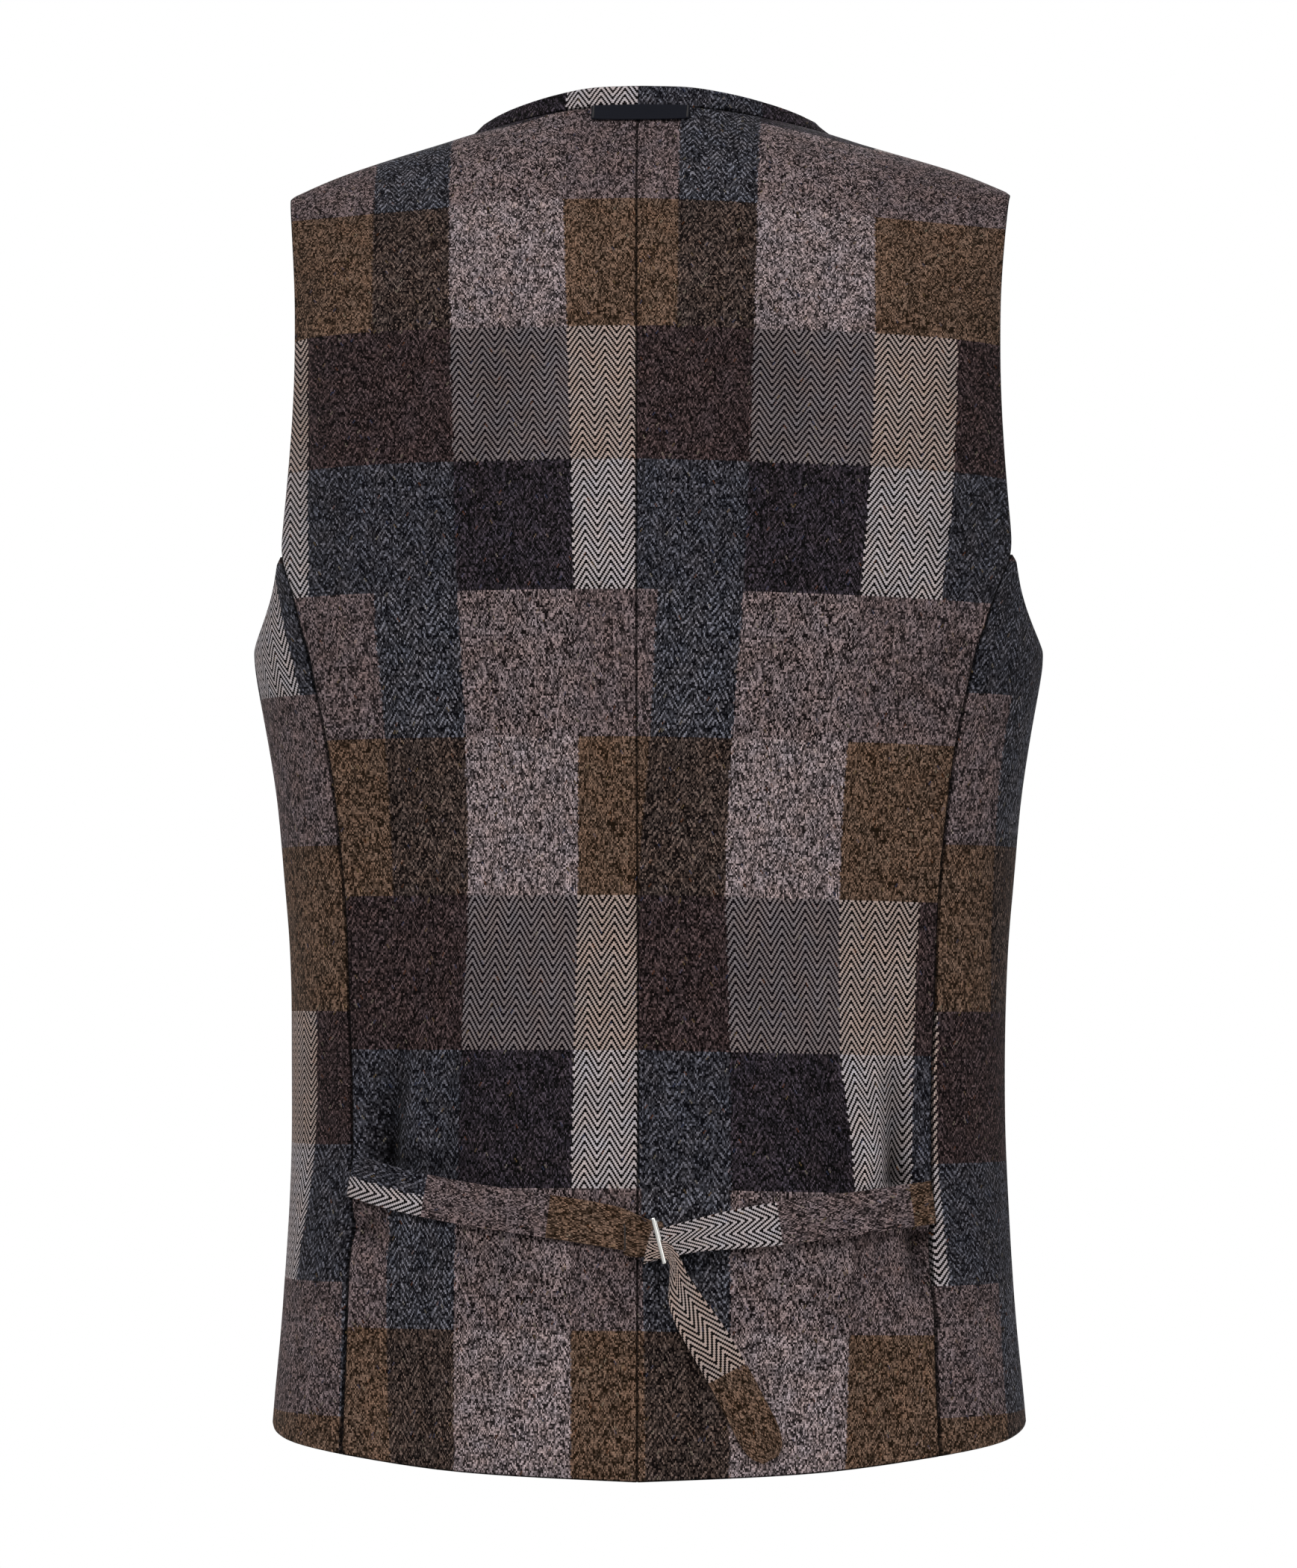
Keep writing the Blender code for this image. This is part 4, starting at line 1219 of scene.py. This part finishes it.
def sew_panel(name, rows, side, sink=None):
    bm = smoothed(grid_of(rows, side), SMOOTHING)
    bm.normal_update()
    face_outwards(bm, rows, side)
    bm.normal_update()
    moves, inwards = [], []
    painted_crease_shade = bm.verts.layers.float.new("painted_crease_shade")
    painted_seam_mask = bm.verts.layers.float.new("painted_seam_shade")
    for vert in bm.verts:
        # Painted shade in the creases, as strong as each crease is deep.
        vert[painted_crease_shade] = min(max(creased(vert.co) / DEEPEST, 0.0), 1.0)
        # Painted shade in the seam grooves.
        vert[painted_seam_mask] = painted_seam_shade_at(vert)
        depth = sunk(vert.co)
        if sink:
            depth += sink(Vector((side * vert.co.x * 1000, 0, vert.co.z * 1000 + MOUNT))) * 0.001
        way = -vert.normal
        if on_centre_seam(vert.co):
            way.x = 0.0
            way.normalize()
        dip = SEAM_DIP if vert.is_boundary else 0.0
        moves.append(way * (depth + dip))
        under = name.startswith("neck_band") and from_neck_seam(vert.co) < BY_NECK_SEAM
        reach = BAND_ALLOWANCE if under else ALLOWANCE
        allowance = past_the_edge(vert, reach) if vert.is_boundary else Vector()
        inwards.append(way * (CLOTH_THICK - dip) + allowance)
    for vert, move in zip(bm.verts, moves):
        vert.co += move
    area = sum(face.calc_area() for face in bm.faces)
    give_thickness(bm, inwards, inner_material=1)
    obj = finish_piece("cloth_" + name, bm, (TWEED, LINING, TWEED_PAINTED_SHADE), (name,))
    # The turned edges take the darker copy of the tweed: painted shade on the edges and in the seam
    # grooves.
    turn_edges(obj, SIDE_EDGE_TURN if name.startswith("side") else EDGE_TURN, 2, material=2)
    print(name, "faces", len(obj.data.polygons), "cloth", round(area * 1e4, 1), "cm2")
    return obj, area


# %% Sew all eight
LAP_DEPTH = 2.45  # the wall of the cloth and a little air
LAP_EDGE, LAP_SLOPE = 44, 20  # the lap ends this far from the middle, after a slope this wide
LAP_HIGH = 55  # it starts to fade at this height, and is gone at twice that


def underlap(point):
    """How far the right front lies beneath the left one along the button line."""
    fade = 1 - ease((point.z - LAP_HIGH) / LAP_HIGH)
    return LAP_DEPTH * ease((LAP_EDGE - point.x) / LAP_SLOPE) * fade


CUTS = {"back": (0.204, 0.672, back_panel), "side_back": (0.098, 0.433, side_panel),
        "front": (0.284, 0.676, front_panel), "neck_band": (0.012, 0.099, band_panel)}
for word, side in SIDES:
    for kind, (wide, long, rows_of) in CUTS.items():
        sink = underlap if (kind, side) == ("front", -1) else None
        obj, area = sew_panel(f"{kind}_{word}", rows_of(side), side, sink)


# %% [markdown]
# ## Belt straps
#
# Each strap is a narrow tube of the same tweed, pressed flat. It leaves a princess seam, crosses
# the back and meets the slider. A ribbon through listed stations gives the path, and pinched
# width near the slider shows as soft pleats along it.

# %% Belt tables and the slider's place
BAR_MIDDLE = (-10.2, -211.3)
BAR_WAY = (-0.244, -0.970)
THICK_WAY = (-0.970, 0.244)
BAR_LOW, BAR_HIGH = 3.0, 12.2  # how far the lowest and the highest bar stand off the cloth
SLIDER_LEAN = 1.0
BELT_COLUMNS = ("x", "h", "lift", "ax", "tilt", "az", "width", "thick")
LOOP_RADIUS, LOOP_ALONG, LOOP_WIDTH, LOOP_THICK = 2.0, -1.7, 15.2, 1.3


def by_slider(along, across, lift):
    across += SLIDER_LEAN * (BAR_HIGH - lift) / (BAR_HIGH - BAR_LOW)
    return [BAR_MIDDLE[i] + BAR_WAY[i] * along + THICK_WAY[i] * across for i in (0, 1)]


def round_bar():
    x, h = by_slider(LOOP_ALONG, 0.0, BAR_LOW)
    rows = []
    for degrees in range(-90, 91, 30):
        across = LOOP_RADIUS * math.cos(math.radians(degrees))
        rise = LOOP_RADIUS * math.sin(math.radians(degrees))
        place = (x + THICK_WAY[0] * across, h + THICK_WAY[1] * across, BAR_LOW + rise)
        rows.append((*place, BAR_WAY[0], 0, BAR_WAY[1], LOOP_WIDTH, LOOP_THICK))
    return rows


STRAP_LEFT = table(
    BELT_COLUMNS,
    (133.2, -181.8, 0.95, 0.20, 0, -0.98, 19.5, 1.3),
    (127.0, -183.5, 1.65, 0.19, 0, -0.98, 19.5, 2.1),
    (114.0, -187.0, 1.75, 0.17, 0, -0.98, 19.5, 2.2),
    (92.8, -191.5, 1.75, 0.14, 0, -0.99, 19.5, 2.2),
    (62.0, -196.6, 1.75, 0.12, 0, -0.99, 19.5, 2.2),
    (33.3, -200.6, 1.75, 0.10, 0, -0.99, 19.5, 2.2),
    (16.0, -203.4, 1.70, 0.05, 0, -1.00, 19.5, 2.1),
    (5.0, -205.6, 1.45, -0.03, 0, -1.00, 18.8, 1.8),
    (-3.0, -207.6, 1.10, -0.14, 0, -0.98, 16.4, 1.4),
    (-7.6, -208.6, 1.00, -0.22, 0, -0.97, 15.4, 1.3),
    *round_bar(),
    (-6.8, -209.6, 4.90, -0.18, 0, -0.98, 14.8, 1.5),
    (-1.5, -209.8, 4.60, -0.08, 0, -1.00, 16.4, 2.5),
    (3.2, -209.6, 4.00, -0.04, 0, -1.00, 16.6, 2.3),
    (6.2, -209.2, 3.20, -0.03, 0, -1.00, 15.4, 1.3),
)
STRAP_RIGHT = table(
    BELT_COLUMNS,
    (-133.2, -193.8, 0.95, -0.13, 0, -0.99, 19.5, 1.3),
    (-127.0, -194.6, 1.65, -0.13, 0, -0.99, 19.5, 2.1),
    (-116.0, -196.0, 1.75, -0.13, 0, -0.99, 19.5, 2.2),
    (-100.0, -198.2, 1.75, -0.13, 0, -0.99, 19.5, 2.2),
    (-80.0, -200.8, 1.80, -0.13, 0, -0.99, 19.5, 2.2),
    (-58.0, -203.6, 2.30, -0.13, 0.05, -0.99, 19.2, 2.1),
    (-40.1, -206.0, 3.50, -0.12, 0.22, -0.95, 17.5, 1.9),
    (-27.0, -208.2, 5.20, -0.12, 0.32, -0.93, 15.6, 1.6),
    (-18.0, -210.3, 6.35, -0.12, 0.20, -0.97, 14.4, 1.3),
    (-11.5, -212.0, 6.80, -0.08, 0, -1.00, 13.8, 1.3),
    (-7.6, -212.9, 6.80, 0.10, 0, -0.99, 14.6, 1.3),
    (-5.7, -213.4, 7.40, 0.18, 0, -0.98, 15.0, 1.3),
    (-5.1, -213.9, 8.60, 0.23, 0, -0.97, 15.2, 1.3),
    (-5.7, -214.0, 9.80, 0.22, 0, -0.97, 13.4, 1.3),
    (-7.6, -214.2, 10.38, 0.10, 0, -0.99, 11.0, 1.3),
    (-11.2, -214.6, 10.40, -0.12, 0, -0.99, 8.2, 1.3),
    (-14.1, -215.4, 10.30, -0.05, 0, -1.00, 8.0, 1.3),
    (-16.6, -220.8, 9.60, 0.35, 0, -0.94, 9.8, 1.3),
    (-18.6, -231.0, 8.40, 0.65, 0, -0.76, 13.6, 1.5),
    (-24.0, -242.3, 6.90, 0.82, 0, -0.57, 17.0, 1.9),
    (-31.0, -253.6, 5.50, 0.87, 0, -0.50, 19.0, 2.1),
    (-40.4, -269.6, 3.80, 0.88, 0, -0.48, 19.3, 2.2),
    (-50.3, -288.4, 2.50, 0.89, 0, -0.46, 19.3, 2.2),
    (-56.6, -301.0, 2.10, 0.89, 0, -0.46, 18.2, 2.2),
    (-58.8, -305.6, 2.00, 0.89, 0, -0.46, 14.6, 2.1),
    (-60.2, -308.8, 2.00, 0.89, 0, -0.46, 8.0, 2.0),
)


# %% A ribbon through stations
STRAP_SETTLES = 1.1  # how much of the cloth's sinking a strap follows where it lies on it
LOOSE_LIFT = 6.0  # and at this height above the cloth it follows none
RIBBON_PACE, RIBBON_COLUMNS = 2.6, 10
FULL_WIDTH = 19.5
CROWN, PLEAT = 0.35, 0.5  # how much a strap's edges fall, and how high a pinch lifts its pleats
PLEATS = 14  # how close the pleats lie
STRAP_TURN = 0.0005


def curve_through(stations, name):
    value = [station[name] for station in stations]
    gap = [(b["at"] - a["at"]).length for a, b in zip(stations, stations[1:])]
    slope = [(b - a) * (1 / d) for a, b, d in zip(value, value[1:], gap)]
    inner = []
    for i in range(len(gap) - 1):
        weighted = slope[i] * gap[i + 1] + slope[i + 1] * gap[i]
        inner.append(weighted * (1 / (gap[i] + gap[i + 1])))
    slope = [slope[0], *inner, slope[-1]]
    out = []
    for i, d in enumerate(gap):
        count = max(1, round(d / RIBBON_PACE))
        for k in range(count):
            out.append(hermite(value[i], value[i + 1], slope[i] * d, slope[i + 1] * d, k / count))
    out.append(value[-1])
    return out


def belt_stations(rows):
    stations = []
    for row in rows:
        u = u_back(row["h"], abs(row["x"]))
        point, normal = skin(u, row["h"]), skin_normal(u, row["h"])
        if row["x"] < 0:
            point.x, normal.x = -point.x, -normal.x
        flat = Vector((row["ax"], 0, row["az"]))
        flat = (flat - normal * flat.dot(normal)).normalized()
        settled = STRAP_SETTLES * sunk(to_metres(point)) * 1000
        stations.append(dict(
            at=point + normal * (row["lift"] - settled * max(0.0, 1 - row["lift"] / LOOSE_LIFT)),
            across=(flat + normal * row["tilt"]).normalized(),
            width=row["width"],
            thick=row["thick"],
        ))
    return stations


def ribbon(name, stations, cut, material, crown=CROWN, pleat=PLEAT, turn=STRAP_TURN,
           replaced=None):
    """A closed flat tube of cloth. cut(arc, share) gives its place on the cloth."""
    at, across, width, thick = (
        curve_through(stations, column) for column in ("at", "across", "width", "thick")
    )
    last = len(at) - 1
    bm = bmesh.new()
    inwards = []
    bmesh.ops.create_grid(bm, x_segments=RIBBON_COLUMNS, y_segments=last, size=1)
    cloth_map = bm.loops.layers.uv.new("cloth")
    arcs = [0.0]
    for a, b in zip(at, at[1:]):
        arcs.append(arcs[-1] + (b - a).length)
    for vert in bm.verts:
        share = round((vert.co.x + 1) / 2 * RIBBON_COLUMNS) / RIBBON_COLUMNS - 0.5
        i = round((vert.co.y + 1) / 2 * last)
        along = (at[min(i + 1, last)] - at[max(i - 1, 0)]).normalized()
        way = across[i].normalized()
        out = along.cross(way).normalized()
        pinched = max(0.0, 1 - width[i] / FULL_WIDTH)
        fall = crown * (2 * share) ** 2
        rise = thick[i] / 2 - fall + pleat * pinched * math.cos(share * PLEATS)
        rise = min(rise, thick[i] / 2)
        vert.co = to_metres(at[i] + way * width[i] * share + out * rise)
        inwards.append(out * -(rise + thick[i] / 2 - fall) * 0.001)
        place = cut(arcs[i], share)
        for loop in vert.link_loops:
            loop[cloth_map].uv = (place[0] * 0.001, place[1] * 0.001)
    give_thickness(bm, inwards)
    obj = finish_piece(name, bm, (material,), replaced)
    turn_edges(obj, turn, 3)
    print(name, "long", round(arcs[-1], 1), "mm")
    return obj, arcs[-1]


# %% Both straps
# How far down the cloth each strap has come, over its own length from its seam, and the place
# across the cloth of its middle.
STRAP_CUTS = {
    "left": (LINE_12, track(
        table(("h", "down"), (0, -38), (42, 0), (101, A), (180, A + B - 2)), "down")),
    "right": (LINE_12 / 2, track(
        table(("h", "down"), (0, 76), (12.5, A), (76, 0), (137, -D), (210, -D - C),
              (256, -D - C - 46)), "down")),
}

for word, rows in (("left", STRAP_LEFT), ("right", STRAP_RIGHT)):
    name = "belt_strap_" + word
    middle, down_at = STRAP_CUTS[word]
    obj, length = ribbon(
        "cloth_" + name, belt_stations(rows),
        lambda arc, share: (middle - share * FULL_WIDTH, down_at(arc)),
        TWEED, replaced=(name,))

# %% [markdown]
# ## The blank tab
#
# A short piece of woven tape is sewn below the neck seam. On the real garment it is turned under
# at both ends. It carries no words here.

# %% Tab
LABEL_LONG, LABEL_HIGH, LABEL_THICK = 46.0, 9.4, 0.8
LABEL_MIDDLE, LABEL_BELOW_SEAM, LABEL_LIFT = 2.4, 0.9, 0.85
LABEL_STATIONS = 9


def neck_share_at(x):
    low, high = 0.0, 1.0
    for _ in range(20):
        middle = (low + high) / 2
        low, high = (middle, high) if neck_seam(middle).x < x else (low, middle)
    return low


def label_stations():
    stations = []
    for k in range(LABEL_STATIONS):
        x = LABEL_MIDDLE + LABEL_LONG * (k / (LABEL_STATIONS - 1) - 0.5)
        edge, way = back_top_edge(neck_share_at(abs(x - centre_drift(MOUNT))) * NECK_SHARE)
        edge.x = x
        out = Vector((0, way.z, -way.y)).normalized()
        at = edge - way * (LABEL_HIGH / 2 + LABEL_BELOW_SEAM) + out * LABEL_LIFT
        stations.append(dict(at=at, across=-way, width=LABEL_HIGH, thick=LABEL_THICK))
    return stations


label, _ = ribbon(
    "label_tape", label_stations(), lambda arc, share: (arc, share * LABEL_HIGH), TAPE,
    crown=0.0, pleat=0.0, replaced=("neck_label",))

# %% [markdown]
# ## Rows of stitches
#
# The tab is sewn down at both ends, and the left strap's loop round the slider is closed by one
# row. Each row is a thin cord of thread, pressed into the cloth. Bump alone would vanish when the
# light comes from the front.

# %% Rows on the tab and on the strap
THREAD_WIDTH, THREAD_THICK, THREAD_CROWN = 0.8, 0.5, 0.2
ROW_RISE = 0.42
ROW_SHARES = (-0.46, -0.2, 0.0, 0.2, 0.46)  # of the tab's height
SMALL_TURN = 0.00012
LOOP_ROW = table(
    BELT_COLUMNS,
    (5.5, -202.2, 3.70, 1, 0, 0, 0.9, 0.5), (5.4, -205.5, 4.10, 1, 0, 0, 0.9, 0.5),
    (5.3, -209.2, 4.20, 1, 0, 0, 0.9, 0.5), (5.3, -213.0, 4.10, 1, 0, 0, 0.9, 0.5),
    (5.4, -216.4, 3.70, 1, 0, 0, 0.9, 0.5),
)


def stitch_row(name, stations, crown=THREAD_CROWN):
    ribbon(name, stations, lambda arc, share: (arc * 0.001, share * 0.001), THREAD,
           crown=crown, pleat=0.0, turn=SMALL_TURN)


ACROSS = Vector((1, 0, 0))
for word, place, inset in (("left", label_stations()[-1], -ACROSS),
                           ("right", label_stations()[0], ACROSS)):
    out = place["across"].cross(ACROSS).normalized()
    out *= 1 if out.y > 0 else -1
    stitch_row(f"label_stitches_{word}", [
        dict(at=place["at"] + inset + place["across"] * LABEL_HIGH * share + out * ROW_RISE,
             across=ACROSS, width=THREAD_WIDTH, thick=THREAD_THICK)
        for share in ROW_SHARES
    ])
stitch_row("loop_stitches", belt_stations(LOOP_ROW))

# %% [markdown]
# ## Buttons
#
# A real button is turned from a slice of horn: a shallow dish inside a rounded rim, with four
# holes drilled through. Spinning a profile gives the dish but no holes, so a square grid is bent
# into a disc instead: its middle squares stay square, and four of them are sunk as holes. A
# Subdivision Surface then makes them round.

# %% One button
BUTTON_COUNT, BUTTON_TOP, BUTTON_PITCH = 5, 8.0, 62.0
BUTTON_LIFT = 0.35
BUTTON_RADIUS, BUTTON_FOOT = 7.4, 6.6
BUTTON_FACE = table(("h", "z"), (0, 1.6), (5, 1.7), (5.7, 2.2), (6.6, 2.5), (7.4, 1.7))
BUTTON_CELLS = 14
HOLE_AT = 1.5 * 2 / BUTTON_CELLS  # of the radius, each way from the middle
HOLE_LIP, HOLE_DEEP = 0.00012, 0.0013
face_z = track(BUTTON_FACE, "z")


def button_seat(h):
    """Where a button sits: its middle, and the ways across, up and out, in millimetres."""
    normal = skin_normal(1.0, h)
    middle = skin(1.0, h)
    middle += normal * (BUTTON_LIFT - sunk(to_metres(middle)) * 1000)
    up = Vector((0, 0, 1))
    up = (up - normal * up.dot(normal)).normalized()
    return middle, up.cross(normal), up, normal


def make_button(number):
    middle, across, up, out = button_seat(BUTTON_TOP - BUTTON_PITCH * (number - 1))
    bm = bmesh.new()
    bmesh.ops.create_grid(bm, x_segments=BUTTON_CELLS, y_segments=BUTTON_CELLS, size=1)
    holes = [
        face for face in bm.faces
        if all(abs(abs(value) - HOLE_AT) < 0.01 for value in face.calc_center_median()[:2])
    ]
    for vert in bm.verts:
        x, y = vert.co.x, vert.co.y
        x, y = x * math.sqrt(1 - y * y / 2), y * math.sqrt(1 - x * x / 2)
        radius = BUTTON_RADIUS * math.hypot(x, y)
        place = middle + (across * x + up * y) * BUTTON_RADIUS + out * face_z(radius)
        vert.co = to_metres(place)
    bm.normal_update()
    sunk_way = -1 if holes[0].normal.dot(out) > 0 else 1
    bmesh.ops.inset_individual(bm, faces=holes, thickness=HOLE_LIP)
    bmesh.ops.inset_individual(bm, faces=holes, thickness=HOLE_LIP, depth=HOLE_DEEP * sunk_way)
    seat = to_metres(middle)
    to_foot = []
    for vert in bm.verts:
        place = vert.co - seat
        foot = across * place.dot(across) + up * place.dot(up)
        to_foot.append(foot * (BUTTON_FOOT / BUTTON_RADIUS) - place)
    give_thickness(bm, to_foot)
    print("button", number, "holes", len(holes))
    obj = finish_piece(f"horn_button_{number}", bm, (HORN,), (f"button_{number}",))
    rounded = obj.modifiers.new("rounded", "SUBSURF")
    rounded.levels = rounded.render_levels = 2
    return middle, across, up, out


seats = [make_button(number) for number in range(1, BUTTON_COUNT + 1)]

# %% [markdown]
# ## Thread on the buttons, and buttonholes
#
# Two stitches cross each button from hole to hole. Beside it shows the part of the buttonhole
# that the shank doesn't fill: a slit between two lips of close stitches, round at its end.

# %% Stitches and lips
STITCH_PATH = (
    (-1.62, 0.6), (-1.55, 1.6), (-0.9, 1.98), (0.0, 2.05), (0.9, 1.98), (1.55, 1.6), (1.62, 0.6),
)
STITCH_FROM_MIDDLE = 1.59
LIP_PATH = (
    (2.0, 0.62), (5.0, 0.62), (8.6, 0.62), (10.2, 0.75), (11.2, 0.6), (11.6, 0.0), (11.2, -0.6),
    (10.2, -0.75), (8.6, -0.62), (5.0, -0.62), (2.0, -0.62),
)
LIP_WIDTH, LIP_THICK, LIP_LIFT, LIP_CROWN = 1.15, 0.9, 0.1, 0.3

for number, (middle, across, up, out) in enumerate(seats, 1):
    for row, word in ((-1, "low"), (1, "high")):
        stitch_row(f"thread_{number}_{word}", [
            dict(at=middle + across * x + up * row * STITCH_FROM_MIDDLE + out * rise, across=up,
                 width=THREAD_WIDTH, thick=THREAD_THICK)
            for x, rise in STITCH_PATH
        ])
    lips = []
    for k, (x, y) in enumerate(LIP_PATH):
        x0, y0 = LIP_PATH[max(k - 1, 0)]
        x1, y1 = LIP_PATH[min(k + 1, len(LIP_PATH) - 1)]
        beside = Vector((y1 - y0, x0 - x1)).normalized()
        h = (middle + up * y).z
        on_cloth = skin(u_front(h, x), h)
        on_cloth += out * (LIP_LIFT - sunk(to_metres(on_cloth)) * 1000)
        lips.append(dict(at=on_cloth, across=across * beside.x + up * beside.y,
                         width=LIP_WIDTH, thick=LIP_THICK))
    stitch_row(f"buttonhole_{number}", lips, crown=LIP_CROWN)

# %% [markdown]
# ## Slider
#
# The slider's solid already has the right shape, so it only takes a plated finish.

# %% Finish for the slider
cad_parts["buckle"].data.materials.clear()
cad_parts["buckle"].data.materials.append(METAL)
